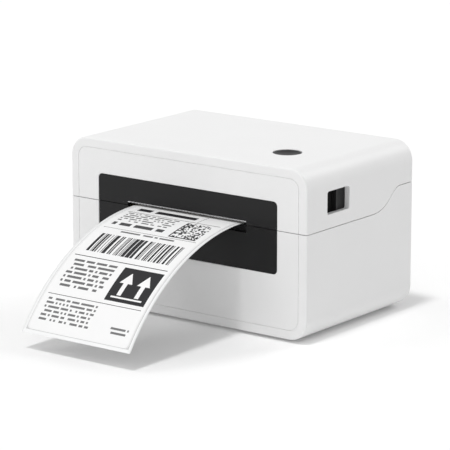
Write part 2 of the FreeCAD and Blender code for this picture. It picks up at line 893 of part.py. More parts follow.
def post_places():
    """Screw posts of the deck, the front pair behind the gear train."""
    return corner_places("post_inset_side", "post_inset_front", "post_inset_rear")


def foot_places():
    return corner_places("foot_inset_side", "foot_inset_end", "foot_inset_end")


BOARD_BACK = f"({BAY_FLOOR} - wall - wall_gap)"
BOARD_RIGHT = f"({BAY_RIGHT} - board_edge)"
BOARD_LEFT = f"({BOARD_RIGHT} - board_width)"


def board_screw_places():
    """Four places near the board's edges, the rear pair in front of the sockets."""
    inset = "(screw_head_radius + board_screw_edge)"
    rows = (f"({BOARD_BACK} - {inset} - socket_zone)", f"({BOARD_BACK} - board_depth + {inset})")
    return [(x, y) for y in rows for x in (f"{BOARD_LEFT} + {inset}", f"{BOARD_RIGHT} - {inset}")]


def add_base_bosses(body):
    """Screw posts, board stand-offs and foot recesses of the base's floor."""
    inside = "(foot_height + wall / 2)"
    for x, y in post_places():
        pad(body, "XY", inside, 1, f"post_foot - {inside}", circle(x, y, "counterbore + post_wall"))
        pocket(body, "XY", "foot_height", 1, "counterbore_depth", circle(x, y, "counterbore"))
        pocket(body, "XY", "foot_height", 1, "post_foot", circle(x, y, "screw_radius + fit_gap"))
    for x, y in board_screw_places():
        pad(body, "XY", inside, 1, f"board_level - {inside}", circle(x, y, "screw_head_radius"))
        pocket(body, "XY", "board_level", -1, "standoff_bore", circle(x, y, "screw_radius"))
    for x, y in foot_places():
        pocket(body, "XY", "foot_height", 1, "foot_recess", circle(x, y, "foot_radius + fit_gap"))


def make_feet():
    names = ("foot_front_left", "foot_front_right", "foot_rear_left", "foot_rear_right")
    for name, (x, y) in zip(names, foot_places()):
        body = new_body(name)
        pad(body, "XY", "0", 1, "foot_height + foot_recess", circle(x, y, "foot_radius"))
        chamfer(body, "foot_edge", on_plane("Z", "0"))
        keep(body, name)


def make_case_screws():
    seat = "(foot_height + counterbore_depth)"
    length = f"(post_foot - {seat} + pilot_depth - slide_gap)"
    keep(group(*(screw(x, y, seat, 1, length) for x, y in post_places())), "case_screws")


def make_hinge_pins():
    length = "(ear_width + 2 * slide_gap + 2 * knuckle_width - 2 * wall_gap)"
    pins = []
    for side in (1, -1):
        start = f"{side} * {HINGE_X} - {length} / 2"
        pins.append(rod("X", start, HINGE_Y, HINGE_Z, "pin_radius", length))
    keep(group(*pins), "hinge_pins")


# Front panel

def bezel(name, upper):
    """One half of the front panel with its lip behind the case wall."""
    body = new_body(name)
    face = behind("panel_recess")
    pad(body, "XZ", face, 1, "wall - panel_recess", panel_outline("(-fit_gap)"))
    pad(body, "XZ", behind("wall"), 1, "lip_thick", panel_outline("lip_reach"))
    spare = "(panel_width + 4 * lip_reach)"
    half = f"({spare} / 2)"
    seam = f"({SEAM} + seam_gap / 2)" if upper else f"({SEAM} - seam_gap / 2)"
    away = f"({seam} - {spare})" if upper else f"({seam} + {spare})"
    low, high = (away, seam) if upper else (seam, away)
    pocket(body, "XZ", FRONT, 1, "2 * wall + lip_thick", rectangle(f"-{half}", half, low, high))
    edge = f"({SLOT_HIGH} + blade_thick)" if upper else SLOT_LOW
    low, high = (f"{seam} - lip_reach", edge) if upper else (edge, f"{seam} + lip_reach")
    slot = rectangle(f"-{SLOT_HALF}", SLOT_HALF, low, high)
    pocket(body, "XZ", FRONT, 1, "2 * wall + lip_thick", slot)
    return body


def make_bezels():
    keep(bezel("upper_bezel", True), "upper_bezel")
    lower = bezel("lower_bezel", False)
    shelf = rectangle(f"-{SLOT_HALF}", SLOT_HALF, f"{SLOT_LOW} - shelf_thick", SLOT_LOW)
    pad(lower, "XZ", behind("wall"), 1, "shelf_reach - wall", shelf)
    keep(lower, "lower_bezel")


def make_tear_bar():
    """Steel strip with a bevelled front and a row of cut teeth, held in the top of the slot."""
    body = new_body("tear_bar")
    nose = behind("panel_recess / 2")
    back = behind("(panel_recess / 2 + blade_depth)")
    low = SLOT_HIGH
    high = f"({SLOT_HIGH} + blade_thick)"
    section = polygon(
        (nose, low), (back, low), (back, high), (f"{nose} + blade_bevel", high),
        (nose, f"{low} + blade_nose"),
    )
    width = f"(2 * {SLOT_HALF} - 2 * fit_gap)"
    pad(body, "YZ", "0", 0, width, section)
    pitch = f"({width} / {BLADE_TEETH + 1})"
    first = f"(-{width} / 2 + {pitch})"
    gap_left = f"{first} - tooth_width / 2"
    gap_right = f"{first} + tooth_width / 2"
    gap = polygon(
        (gap_left, f"{nose} - tooth_depth"), (gap_right, f"{nose} - tooth_depth"), (gap_right, nose),
        (first, f"{nose} + tooth_depth"), (gap_left, nose),
    )
    notch = pocket(body, "XY", low, 1, "2 * blade_thick", gap)
    document.recompute()
    row = body.newObject("PartDesign::LinearPattern", "teeth")
    row.Originals = [notch]
    row.Direction = (notch.Profile[0], ["H_Axis"])
    row.setExpression("Length", cell(f"{pitch} * {BLADE_TEETH - 1}"))
    row.Occurrences = BLADE_TEETH
    body.Tip = row
    keep(body, "tear_bar")


# Latches

def make_latch(side, name):
    """Slide latch: a face behind the window, a thumb rib and the hook that holds the lid."""
    body = new_body(name)
    front = behind("(window_start + window_length - latch_face)")
    back = behind("(window_start + window_length + latch_tail)")
    low = f"({SEAM} + window_low - latch_overlap)"
    high = f"({SEAM} + window_low + window_height + latch_overlap)"
    outer = f"({side} * {LATCH_OUT})"
    hook_front = behind(f"({HOOK_BACK} - hook_width)")
    hook_back = behind(HOOK_BACK)
    outline = polygon(
        (front, low), (hook_front, low), (hook_front, HOOK_TIP), (f"{hook_back} + hook_reach", HOOK_TIP),
        (f"{hook_back} + hook_reach", f"{HOOK_TIP} + hook_height"),
        (hook_back, f"{HOOK_TIP} + hook_height"), (hook_back, low), (back, low), (back, high), (front, high),
    )
    pad(body, "YZ", outer, -side, "latch_thick", outline)
    rib = rectangle(
        front, f"{front} + latch_rib", f"{SEAM} + window_low + slide_gap",
        f"{SEAM} + window_low + window_height - slide_gap",
    )
    pad(body, "YZ", outer, side, "latch_rib_height", rib)
    return keep(body, name)


HOUSING_FRONT = "(window_start - collar - housing_wall - wall_gap)"
HOUSING_BACK = "(window_start + window_length + latch_tail + spring_room)"


def make_latch_housing(side, name):
    """Pocket behind the window: a back plate with rails above and below the latch and two ends."""
    body = new_body(name)
    front = behind(HOUSING_FRONT)
    back = behind(HOUSING_BACK)
    low = f"({SEAM} + window_low - latch_overlap - slide_gap)"
    high = f"({SEAM} + window_low + window_height + latch_overlap + slide_gap)"
    inner = f"({side} * ({LATCH_IN} - slide_gap))"
    depth = f"({HALF} - wall - {LATCH_IN} + slide_gap)"
    plate = rectangle(front, back, f"{low} - housing_wall", f"{high} + housing_wall")
    pad(body, "YZ", inner, -side, "housing_wall", plate)
    pad(body, "YZ", inner, side, depth, rectangle(front, back, high, f"{high} + housing_wall"))
    hook_front = behind(f"({HOOK_BACK} - hook_width - latch_travel - slide_gap)")
    hook_back = behind(f"({HOOK_BACK} + slide_gap)")
    pad(body, "YZ", inner, side, depth, rectangle(front, hook_front, f"{low} - housing_wall", low))
    pad(body, "YZ", inner, side, depth, rectangle(hook_back, back, f"{low} - housing_wall", low))
    pad(body, "YZ", inner, side, depth, rectangle(front, f"{front} + housing_wall", low, high))
    pad(body, "YZ", inner, side, depth, rectangle(f"{back} - housing_wall", back, low, high))
    return keep(body, name)


def make_latch_spring(side, name):
    """Bent leaf between the latch's tail and the end of its housing."""
    body = new_body(name)
    tail = behind("(window_start + window_length + latch_tail)")
    end = behind(f"({HOUSING_BACK} - housing_wall)")
    inner = f"({side} * {LATCH_IN})"
    outer = f"({side} * {LATCH_OUT})"
    knee = f"({end} - 2 * spring_thick)"
    face = f"{inner} + {side} * spring_thick"
    outline = polygon((inner, tail), (face, tail), (face, knee), (outer, knee), (outer, end), (inner, end))
    middle = f"({SEAM} + window_low + window_height / 2)"
    pad(body, "XY", middle, 0, "spring_width", outline)
    return keep(body, name)


def make_latches():
    for side, word in ((-1, "left"), (1, "right")):
        make_latch(side, "latch_" + word)
        make_latch_housing(side, "latch_housing_" + word)
        make_latch_spring(side, "latch_spring_" + word)


# Feed button

def make_feed_button():
    """Round dished button with a hidden flange and a stem, turned about its own axis."""
    body = new_body("feed_button")
    rim = "(button_radius - button_rim)"
    top = "(wall - button_sink)"
    profile = button_profile(rim, top)
    sketch = sketch_on(body, "XZ", "0", [profile])
    turned = body.newObject("PartDesign::Revolution", "turned")
    turned.Profile = sketch
    turned.ReferenceAxis = (sketch, ["V_Axis"])
    turned.Angle = 360.0
    place(body, BUTTON_X, BUTTON_Y, CEILING)
    return keep(body, "feed_button")


def button_profile(rim, top):
    """Half section of the button; heights count from the lid's ceiling."""
    def draw(sketch):
        flange = "(button_radius + button_flange)"
        under = "(-slide_gap - button_flange_thick)"
        centre = ("0", f"{top} - button_dish")
        rim_top = (rim, top)
        stops = [
            rim_top, ("button_radius", f"{top} - button_rim"), ("button_radius", "-slide_gap"),
            (flange, "-slide_gap"), (flange, under), ("stem_radius", under),
            ("stem_radius", f"{under} - stem_length"), ("0", f"{under} - stem_length"), centre,
        ]
        places = [point(number(x), number(y)) for x, y in stops]
        r = number(rim)
        dish = number("button_dish")
        sphere = (r * r + dish * dish) / (2 * dish)
        middle = point(r / 2, places[-1].y + sphere - math.sqrt(sphere * sphere - r * r / 4))
        lines = [sketch.addGeometry(Part.LineSegment(a, b)) for a, b in zip(places, places[1:])]
        arc = sketch.addGeometry(Part.Arc(places[-1], middle, places[0]))
        for before, after in zip(lines, lines[1:]):
            sketch.addConstraint(Sketcher.Constraint("Coincident", before, 2, after, 1))
        sketch.addConstraint(Sketcher.Constraint("Coincident", lines[-1], 2, arc, 1))
        sketch.addConstraint(Sketcher.Constraint("Coincident", arc, 2, lines[0], 1))
        for line, (x, y) in zip(lines, stops):
            pin_point(sketch, line, 1, x, y)
        pin_point(sketch, lines[-1], 2, *centre)
        hollow = f"({rim} * {rim} / button_dish + button_dish) / 2"
        bind(sketch, Sketcher.Constraint("Radius", arc, sphere), hollow)
    return draw


def make_button_switch():
    """Push switch under the button: case, plunger, its small board and two screws."""
    half = "switch_size / 2"
    well_low = f"({STEM_END} - plunger_length - button_travel - slide_gap)"
    case = block(
        (f"{BUTTON_X} - {half}", f"{BUTTON_X} + {half}"), (f"{BUTTON_Y} - {half}", f"{BUTTON_Y} + {half}"),
        (BOARD_TOP, f"{BOARD_TOP} + switch_height"),
    )
    well = rod("Z", BUTTON_X, BUTTON_Y, well_low, "plunger_radius + slide_gap", "switch_height")
    keep(cut(case, well), "button_switch")
    tip_low = f"{STEM_END} - plunger_length"
    plunger = rod("Z", BUTTON_X, BUTTON_Y, tip_low, "plunger_radius", "plunger_length")
    keep(plunger, "switch_plunger")
    under = f"({BOARD_TOP} - board_thick)"
    half_long = "button_board_length / 2"
    half_wide = "button_board_width / 2"
    board = block(
        (f"{BUTTON_X} - {half_long}", f"{BUTTON_X} + {half_long}"),
        (f"{BUTTON_Y} - {half_wide}", f"{BUTTON_Y} + {half_wide}"), (under, BOARD_TOP),
    )
    spots = button_boss_places()
    holes = [rod("Z", x, y, under, "screw_radius", "board_thick") for x, y, _ in spots]
    keep(cut(board, *holes), "button_board")
    screws = [screw(x, y, under, 1, "(board_thick + screw_bite)") for x, y, _ in spots]
    keep(group(*screws), "button_screws")


# Lid frame and print head

EAR_X = "(label_width / 2 + sink_margin + slide_gap)"
PIVOT_Y = behind("pivot_depth")
HEAD_LOW = f"({LEVEL} + paper_gap + paper_thick + head_gap)"
BOARD_LOW = f"({HEAD_LOW} + head_bead)"
SINK_LOW = f"({BOARD_LOW} + head_thick)"
PIVOT_Z = f"({SINK_LOW} + pivot_rise)"


def make_cover_frame():
    """Stepped plate that closes the lid from below, with two ears for the head's pivot."""
    body = new_body("cover_frame")
    step = behind("frame_step")
    far = f"({step} + frame_thick)"
    end = behind("frame_end")
    front = behind("frame_front")
    section = polygon(
        (front, f"{FRAME_SHELF} - frame_thick"), (step, f"{FRAME_SHELF} - frame_thick"), (step, FRAME_LOW),
        (end, FRAME_LOW), (end, f"{FRAME_LOW} + frame_thick"), (far, f"{FRAME_LOW} + frame_thick"),
        (far, FRAME_SHELF), (front, FRAME_SHELF),
    )
    pad(body, "YZ", "0", 0, f"2 * {FRAME_HALF}", section)
    ear = rectangle(f"{PIVOT_Y} - 2 * pivot_radius", f"{step} + frame_thick / 2",
                    f"{PIVOT_Z} - 2 * pivot_radius", f"{PIVOT_Z} + 2 * pivot_radius")
    for side in (1, -1):
        pad(body, "YZ", f"({side} * {EAR_X})", side, "pivot_ear", ear)
        bore = circle(PIVOT_Y, PIVOT_Z, "pivot_radius + run_gap")
        pocket(body, "YZ", f"({side} * {EAR_X})", side, "pivot_ear", bore)
    for x, y, top in cover_boss_places():
        pocket(body, "XY", top, -1, "frame_thick", circle(x, y, "screw_radius + fit_gap"))
    keep(body, "cover_frame")
    length = "(frame_thick + screw_bite)"
    screws = [screw(x, y, f"({top} - frame_thick)", 1, length) for x, y, top in cover_boss_places()]
    keep(group(*screws), "frame_screws")


def make_print_head():
    """Ceramic board with the raised bead of its heating line."""
    half = "(label_width / 2 + head_margin)"
    front = behind("head_front")
    back = f"({front} + head_length)"
    body = new_body("print_head")
    pad(body, "XY", BOARD_LOW, 1, "head_thick", rectangle(f"-{half}", half, front, back))
    line = behind("platen_depth")
    bead = rectangle(f"-{half}", half, f"{line} - head_bead_width / 2", f"{line} + head_bead_width / 2")
    pad(body, "XY", HEAD_LOW, 1, "head_bead", bead)
    keep(body, "print_head")


def make_head_sink():
    """Aluminium carrier: a plate with fins and a rear rib bored for the pivot."""
    half = "(label_width / 2 + sink_margin)"
    front = behind("head_front")
    back = f"({front} + sink_length)"
    body = new_body("head_sink")
    pad(body, "XY", SINK_LOW, 1, "sink_thick", rectangle(f"-{half}", half, front, back))
    rib_front = f"({PIVOT_Y} - 2 * pivot_radius)"
    pad(body, "XY", SINK_LOW, 1, "sink_height + pivot_radius", rectangle(f"-{half}", half, rib_front, back))
    for index in range(FIN_COUNT):
        fin_back = f"({rib_front} - {index + 1} * fin_pitch + fin_thick)"
        fin = rectangle(f"-{half}", half, f"{fin_back} - fin_thick", fin_back)
        pad(body, "XY", SINK_LOW, 1, "sink_height", fin)
    pocket(body, "YZ", "0", 0, f"4 * {half}", circle(PIVOT_Y, PIVOT_Z, "pivot_radius"))
    keep(body, "head_sink")
    length = f"(2 * ({EAR_X} + pivot_ear))"
    keep(rod("X", f"-{length} / 2", PIVOT_Y, PIVOT_Z, "pivot_radius", length), "head_pivot")
    make_head_springs(front)


def make_head_springs(front):
    """Leaf springs from the frame's shelf down to the front of the carrier."""
    seat = f"({FRAME_SHELF} - frame_thick)"
    plate = f"({SINK_LOW} + sink_thick)"
    for side, word in ((-1, "left"), (1, "right")):
        body = new_body("head_spring_" + word)
        foot = f"({front} + head_spring_foot)"
        tip = f"({front} + head_spring_tip)"
        bend = f"({front} + head_spring_bend)"
        under = f"({seat} - spring_thick)"
        outline = polygon(
            (foot, seat), (tip, seat), (tip, under), (f"{foot} + spring_thick", under),
            (f"{bend} + spring_thick", plate), (bend, plate), (foot, under),
        )
        middle = f"({side} * label_width / 4)"
        pad(body, "YZ", middle, 0, "head_spring_width", outline)
        keep(body, "head_spring_" + word)


# Platen, gears and motor

PLATEN_Y = behind("platen_depth")
PLATEN_Z = f"({LEVEL} - paper_thick - nip_gap - platen_radius)"
PLATE_X = "(label_width / 2 + plate_margin)"
OUTER_PLATE = f"({PLATE_X} + plate_thick)"
FIRST_REACH = f"(gear_module * {(PLATEN_TEETH + IDLER_SMALL_TEETH) / 2} + gear_slack)"
SECOND_REACH = f"(gear_module * {(IDLER_LARGE_TEETH + PINION_TEETH) / 2} + gear_slack)"
IDLER_Y = f"({PLATEN_Y} + {FIRST_REACH} * cos(idler_angle))"
IDLER_Z = f"({PLATEN_Z} - {FIRST_REACH} * sin(idler_angle))"
MOTOR_Y = f"({IDLER_Y} + {SECOND_REACH} * cos(motor_angle))"
MOTOR_Z = f"({IDLER_Z} - {SECOND_REACH} * sin(motor_angle))"
BUSH_END = f"({PLATE_X} - bush_flange_thick + bush_length)"
GEAR_IN = f"({OUTER_PLATE} + bush_length)"
GEAR_MID = f"({GEAR_IN} + gear_width)"
WHEEL_IN = f"({GEAR_MID} + gear_gap)"
WHEEL_OUT = f"({WHEEL_IN} + gear_width)"


def involute(angle):
    """Involute function of an angle in radians."""
    return math.tan(angle) - angle


def tooth_half_angle(radius, pitch_radius, teeth):
    """Half of a tooth's angle at a radius, by the involute of its base circle."""
    base = pitch_radius * math.cos(PRESSURE_ANGLE)
    at_pitch = math.pi / (2 * teeth) - number("tooth_backlash") / (2 * pitch_radius)
    roll = involute(math.acos(base / radius)) if radius > base else 0.0
    return at_pitch + involute(PRESSURE_ANGLE) - roll


def gear_blank(teeth, module, width, phase):
    """Spur gear about Z from height 0 up, one tooth centred on the phase angle."""
    pitch_radius = module * teeth / 2
    root = pitch_radius - ROOT_DEPTH * module
    tip = pitch_radius + TIP_HEIGHT * module
    radii = (root, pitch_radius, tip)
    halves = [tooth_half_angle(radius, pitch_radius, teeth) for radius in radii]

    def at(radius, angle):
        return FreeCAD.Vector(radius * math.cos(angle), radius * math.sin(angle), 0)

    edges = []
    step = 2 * math.pi / teeth
    for index in range(teeth):
        middle = phase + index * step
        rising = [at(radius, middle - half) for radius, half in zip(radii, halves)]
        falling = [at(radius, middle + half) for radius, half in zip(radii, halves)][::-1]
        crest = at(tip, middle)
        next_root = at(root, middle + step - halves[0])
        valley = at(root, middle + step / 2)
        edges.append(Part.Arc(*rising).toShape())
        edges.append(Part.Arc(rising[2], crest, falling[0]).toShape())
        edges.append(Part.Arc(*falling).toShape())
        edges.append(Part.Arc(falling[2], valley, next_root).toShape())
    face = Part.Face(Part.Wire(edges))
    return face.extrude(FreeCAD.Vector(0, 0, width))


def gear_on_x(teeth, module, width, phase, bore):
    """Bored gear that runs along X from 0, its phase measured from +Y toward +Z."""
    blank = gear_blank(teeth, module, width, phase)
    onto_x = FreeCAD.Rotation(FreeCAD.Vector(1, 1, 1), 120)
    blank.Placement = FreeCAD.Placement(FreeCAD.Vector(), onto_x)
    hole = Part.makeCylinder(bore, 3 * width, FreeCAD.Vector(-width, 0, 0), FreeCAD.Vector(1, 0, 0))
    return blank.cut(hole)


def make_platen():
    """Steel shaft with its rubber sleeve and the clip at its free end."""
    half = "(label_width / 2 + roller_margin)"
    shaft_end = f"({BUSH_END} + clip_thick + slide_gap)"
    shaft = rod("X", f"-{GEAR_MID}", PLATEN_Y, PLATEN_Z, "shaft_radius", f"{GEAR_MID} + {shaft_end}")
    keep(shaft, "platen_shaft")
    sleeve = rod("X", f"-{half}", PLATEN_Y, PLATEN_Z, "platen_radius", f"2 * {half}")
    core = rod("X", f"-{half}", PLATEN_Y, PLATEN_Z, "shaft_radius", f"2 * {half}")
    keep(cut(sleeve, core), "platen_rubber")
    clip_low = f"{BUSH_END} + slide_gap"
    ring = rod("X", clip_low, PLATEN_Y, PLATEN_Z, "shaft_radius + clip_reach", "clip_thick")
    hole = rod("X", clip_low, PLATEN_Y, PLATEN_Z, "shaft_radius", "clip_thick")
    keep(cut(ring, hole), "shaft_clip")


def make_bushes():
    """Two flanged bearings, their flanges inside the side plates."""
    bushes = []
    for side in (1, -1):
        inner = f"({PLATE_X} - bush_flange_thick)"
        low = inner if side > 0 else f"(-{BUSH_END})"
        flange_low = inner if side > 0 else f"(-{PLATE_X})"
        tube = rod("X", low, PLATEN_Y, PLATEN_Z, "bush_radius", "bush_length")
        flange = rod("X", flange_low, PLATEN_Y, PLATEN_Z, "bush_radius + bush_flange", "bush_flange_thick")
        bore = rod("X", low, PLATEN_Y, PLATEN_Z, "shaft_radius + run_gap", "bush_length")
        bushes.append(cut(fuse(tube, flange), bore))
    keep(group(*bushes), "platen_bushes")


def mesh_phases():
    """Tooth phases that leave the gear train in mesh at rest, measured from +Y toward +Z."""
    to_idler = -math.radians(number("idler_angle"))
    to_motor = -math.radians(number("motor_angle"))
    platen = to_idler
    small = to_idler + math.pi + math.pi / IDLER_SMALL_TEETH
    large = to_motor
    pinion = to_motor + math.pi + math.pi / PINION_TEETH
    return platen, small, large, pinion


def make_gears():
    """Gear train from the motor over the two-step idler to the platen."""
    module = number("gear_module")
    width = number("gear_width")
    platen, small, large, pinion = mesh_phases()
    gear = gear_on_x(PLATEN_TEETH, module, width, platen, number("shaft_radius"))
    keep(formed(gear, f"-{GEAR_MID}", PLATEN_Y, PLATEN_Z), "platen_gear")
    bore = number("idler_pin_radius + run_gap")
    wheel = gear_on_x(IDLER_LARGE_TEETH, module, width, large, bore)
    hub = gear_on_x(IDLER_SMALL_TEETH, module, number(f"{WHEEL_IN} - {GEAR_IN}"), small, bore)
    hub.translate(FreeCAD.Vector(width, 0, 0))
    keep(formed(wheel.fuse(hub).removeSplitter(), f"-{WHEEL_OUT}", IDLER_Y, IDLER_Z), "idler_gear")
    drive = gear_on_x(PINION_TEETH, module, width, pinion, number("motor_shaft_radius"))
    keep(formed(drive, f"-{WHEEL_OUT}", MOTOR_Y, MOTOR_Z), "motor_pinion")


def plate_flange(body, side, front, back):
    """Bent edge of a side plate that is screwed under the deck."""
    low, high = f"{PLATE_X} - bracket_flange", PLATE_X
    if side < 0:
        low, high = f"-{PLATE_X}", f"-{PLATE_X} + bracket_flange"
    pad(body, "XY", f"({DECK_UNDER} - plate_thick)", 1, "plate_thick", rectangle(low, high, front, back))
    for x, y in bracket_screw_places(side, front, back):
        pocket(body, "XY", DECK_UNDER, -1, "plate_thick", circle(x, y, "screw_radius + fit_gap"))


def bracket_screw_places(side, front, back):
    """Two places along the bent edge of a side plate."""
    x = f"{side} * ({PLATE_X} - bracket_flange / 2)"
    return [(x, f"{front} + bracket_screw_inset"), (x, f"{back} - bracket_screw_inset")]


BRACKET_FRONT = behind("deck_opening + bracket_gap")
BRACKET_SPANS = (
    (-1, BRACKET_FRONT, behind("gear_plate_back")),
    (1, BRACKET_FRONT, behind("bearing_plate_back")),
)


def make_side_plates():
    """Steel plates that carry the platen; the left one also carries motor and idler."""
    front = behind("plate_front")
    step = behind("deck_opening - slide_gap")
    crown = f"({LEVEL} - plate_drop)"
    left_back = BRACKET_SPANS[0][2]
    left = new_body("gear_plate")
    left_low = f"({MOTOR_Z} - motor_ear_reach - motor_ear_radius)"
    outline = polygon(
        (front, f"{PLATEN_Z} - gear_plate_chin"), (front, crown), (step, crown), (step, DECK_UNDER),
        (left_back, DECK_UNDER), (left_back, left_low), (behind("platen_depth + gear_plate_slant"), left_low),
    )
    pad(left, "YZ", f"(-{OUTER_PLATE})", 1, "plate_thick", outline)
    plate_flange(left, *BRACKET_SPANS[0])
    holes = [circle(PLATEN_Y, PLATEN_Z, "bush_radius"), circle(IDLER_Y, IDLER_Z, "idler_pin_radius")]
    holes.append(circle(MOTOR_Y, MOTOR_Z, "motor_collar_radius"))
    holes += [circle(MOTOR_Y, z, "screw_radius") for z in motor_ear_heights()]
    pocket(left, "YZ", f"(-{OUTER_PLATE})", 1, "plate_thick", *holes)
    keep(left, "gear_plate")
    right_back = BRACKET_SPANS[1][2]
    right = new_body("bearing_plate")
    right_low = f"({PLATEN_Z} - bearing_plate_chin)"
    outline = polygon(
        (front, right_low), (front, crown), (step, crown), (step, DECK_UNDER), (right_back, DECK_UNDER),
        (right_back, f"{DECK_UNDER} - bearing_plate_tail"), (step, right_low),
    )
    pad(right, "YZ", PLATE_X, 1, "plate_thick", outline)
    plate_flange(right, *BRACKET_SPANS[1])
    pocket(right, "YZ", PLATE_X, 1, "plate_thick", circle(PLATEN_Y, PLATEN_Z, "bush_radius"))
    keep(right, "bearing_plate")
    screws = []
    for side, span_front, span_back in BRACKET_SPANS:
        for x, y in bracket_screw_places(side, span_front, span_back):
            screws.append(screw(x, y, f"({DECK_UNDER} - plate_thick)", 1, "(plate_thick + bracket_bite)"))
    keep(group(*screws), "bracket_screws")


def motor_ear_heights():
    """Heights of the motor's two screw ears."""
    return [f"({MOTOR_Z} + {way} * motor_ear_reach)" for way in (1, -1)]


def make_motor():
    """Stepper motor: round can with a locating collar and two ears, and its turning shaft."""
    x = f"-{PLATE_X}"
    can = rod("X", x, MOTOR_Y, MOTOR_Z, "motor_radius", "motor_length")
    collar = rod("X", f"-{OUTER_PLATE}", MOTOR_Y, MOTOR_Z, "motor_collar_radius", "plate_thick")
    shaft_start = f"({WHEEL_OUT} + plate_thick)"
    shaft_length = f"({shaft_start} - {PLATE_X} + motor_length / 2)"
    shaft = rod("X", f"-{shaft_start}", MOTOR_Y, MOTOR_Z, "motor_shaft_radius", shaft_length)
    keep(shaft, "motor_shaft")
    bore_length = f"{shaft_length} + slide_gap"
    bore = rod("X", f"-{shaft_start}", MOTOR_Y, MOTOR_Z, "motor_shaft_radius + run_gap", bore_length)
    strap = block(
        (x, f"{x} + plate_thick"), (f"{MOTOR_Y} - motor_ear_radius", f"{MOTOR_Y} + motor_ear_radius"),
        (f"{MOTOR_Z} - motor_ear_reach", f"{MOTOR_Z} + motor_ear_reach"),
    )
    ears = [rod("X", x, MOTOR_Y, z, "motor_ear_radius", "plate_thick") for z in motor_ear_heights()]
    holes = [rod("X", x, MOTOR_Y, z, "screw_radius", "plate_thick") for z in motor_ear_heights()]
    keep(cut(fuse(can, collar, strap, *ears), bore, *holes), "drive_motor")
    screws = []
    head_low = f"-{OUTER_PLATE} - screw_head_height"
    for z in motor_ear_heights():
        head = rod("X", head_low, MOTOR_Y, z, "screw_head_radius", "screw_head_height")
        shank = rod("X", f"-{OUTER_PLATE}", MOTOR_Y, z, "screw_radius", "motor_screw_length")
        screws.append(fuse(head, shank))
    keep(group(*screws), "motor_screws")


def make_idler_pin():
    """Fixed pin of the idler with its clip."""
    end = f"({WHEEL_OUT} + slide_gap + clip_thick)"
    pin = rod("X", f"-{end}", IDLER_Y, IDLER_Z, "idler_pin_radius", f"{end} - {PLATE_X}")
    keep(pin, "idler_pin")
    ring = rod("X", f"-{end}", IDLER_Y, IDLER_Z, "idler_pin_radius + clip_reach", "clip_thick")
    hole = rod("X", f"-{end}", IDLER_Y, IDLER_Z, "idler_pin_radius", "clip_thick")
    keep(cut(ring, hole), "idler_clip")


# Deck and label guides

GUIDE_Y = behind("guide_depth")
RACK_PITCH_RADIUS = f"(rack_module * {GUIDE_TEETH / 2})"
RACK_TOP = f"({DECK_UNDER} - rack_drop)"
RACK_LOW = f"({RACK_TOP} - rack_height)"
RACK_INNER = f"({RACK_PITCH_RADIUS} + {RACK_ROOT} * rack_module)"
RACK_OUTER = f"({RACK_INNER} + rack_back)"
FENCE_IN = "(label_width / 2 + guide_clear)"
FENCE_OUT = f"({FENCE_IN} + guide_thick)"
STEM_OUT = f"({FENCE_OUT} + guide_stem)"


def make_media_deck():
    """Plate under the label path, on four hollow posts that are screwed to the base."""
    body = new_body("media_deck")
    half = f"({HALF} - wall - wall_gap)"
    front = behind("(wall + lip_thick + wall_gap)")
    back = f"({BACK} - wall - wall_gap)"
    pad(body, "XY", DECK_UNDER, 1, "deck_thick", rectangle(f"-{half}", half, front, back))
    gear_side = f"(-({WHEEL_OUT} + deck_gear_gap))"
    plate_side = f"{PLATE_X} + deck_plate_gap"
    opening = rectangle(gear_side, plate_side, f"{front} - wall", behind("deck_opening"))
    pocket(body, "XY", DECK_TOP, -1, "deck_thick", opening)
    add_hook_notches(body, half)
    inside = f"({DECK_UNDER} + deck_thick / 2)"
    for x, y in post_places():
        pad(body, "XY", "post_foot", 1, f"{inside} - post_foot", circle(x, y, "post_radius"))
        pocket(body, "XY", "post_foot", 1, "pilot_depth", circle(x, y, "screw_radius"))
    post_end = f"({RACK_LOW} - slide_gap)"
    pad(body, "XY", post_end, 1, f"{inside} - {post_end}", circle("0", GUIDE_Y, "guide_post"))
    pocket(body, "XY", post_end, 1, "boss_bore", circle("0", GUIDE_Y, "screw_radius"))
    for side in (1, -1):
        pocket(body, "XY", DECK_TOP, -1, "deck_thick", guide_slot(side))
    for side, span_front, span_back in BRACKET_SPANS:
        for x, y in bracket_screw_places(side, span_front, span_back):
            pocket(body, "XY", DECK_UNDER, 1, "bracket_bite", circle(x, y, "screw_radius"))
    pocket(body, "XY", DECK_TOP, -1, "sensor_thick", sensor_outline("fit_gap"))
    keep(body, "media_deck")


def add_hook_notches(body, half):
    """Notches in the deck's sides through which the latch hooks pass."""
    for side in (1, -1):
        near_x = f"{side} * ({LATCH_IN} - hook_side_room)"
        far_x = f"{side} * ({half} + wall)"
        left, right = (near_x, far_x) if side > 0 else (far_x, near_x)
        front = behind(f"({HOOK_BACK} - hook_width - latch_travel - hook_room)")
        back = behind(f"({HOOK_BACK} + hook_reach + hook_room)")
        pocket(body, "XY", DECK_TOP, -1, "deck_thick", rectangle(left, right, front, back))


def guide_slot(side):
    """Slot for a guide's stem, as long as the guide's travel."""
    inner = f"({FENCE_IN} - guide_inward - slide_gap)"
    outer = f"({STEM_OUT} + guide_outward + slide_gap)"
    left, right = (inner, outer) if side > 0 else (f"-{outer}", f"-{inner}")
    low, high = rack_rows(side)
    return rectangle(left, right, f"{low} - slide_gap", f"{high} + slide_gap")


def rack_rows(side):
    """Lower and upper Y of a guide's rack, on its own side of the pinion."""
    if side < 0:
        return f"({GUIDE_Y} - {RACK_OUTER})", f"({GUIDE_Y} - {RACK_INNER})"
    return f"({GUIDE_Y} + {RACK_INNER})", f"({GUIDE_Y} + {RACK_OUTER})"


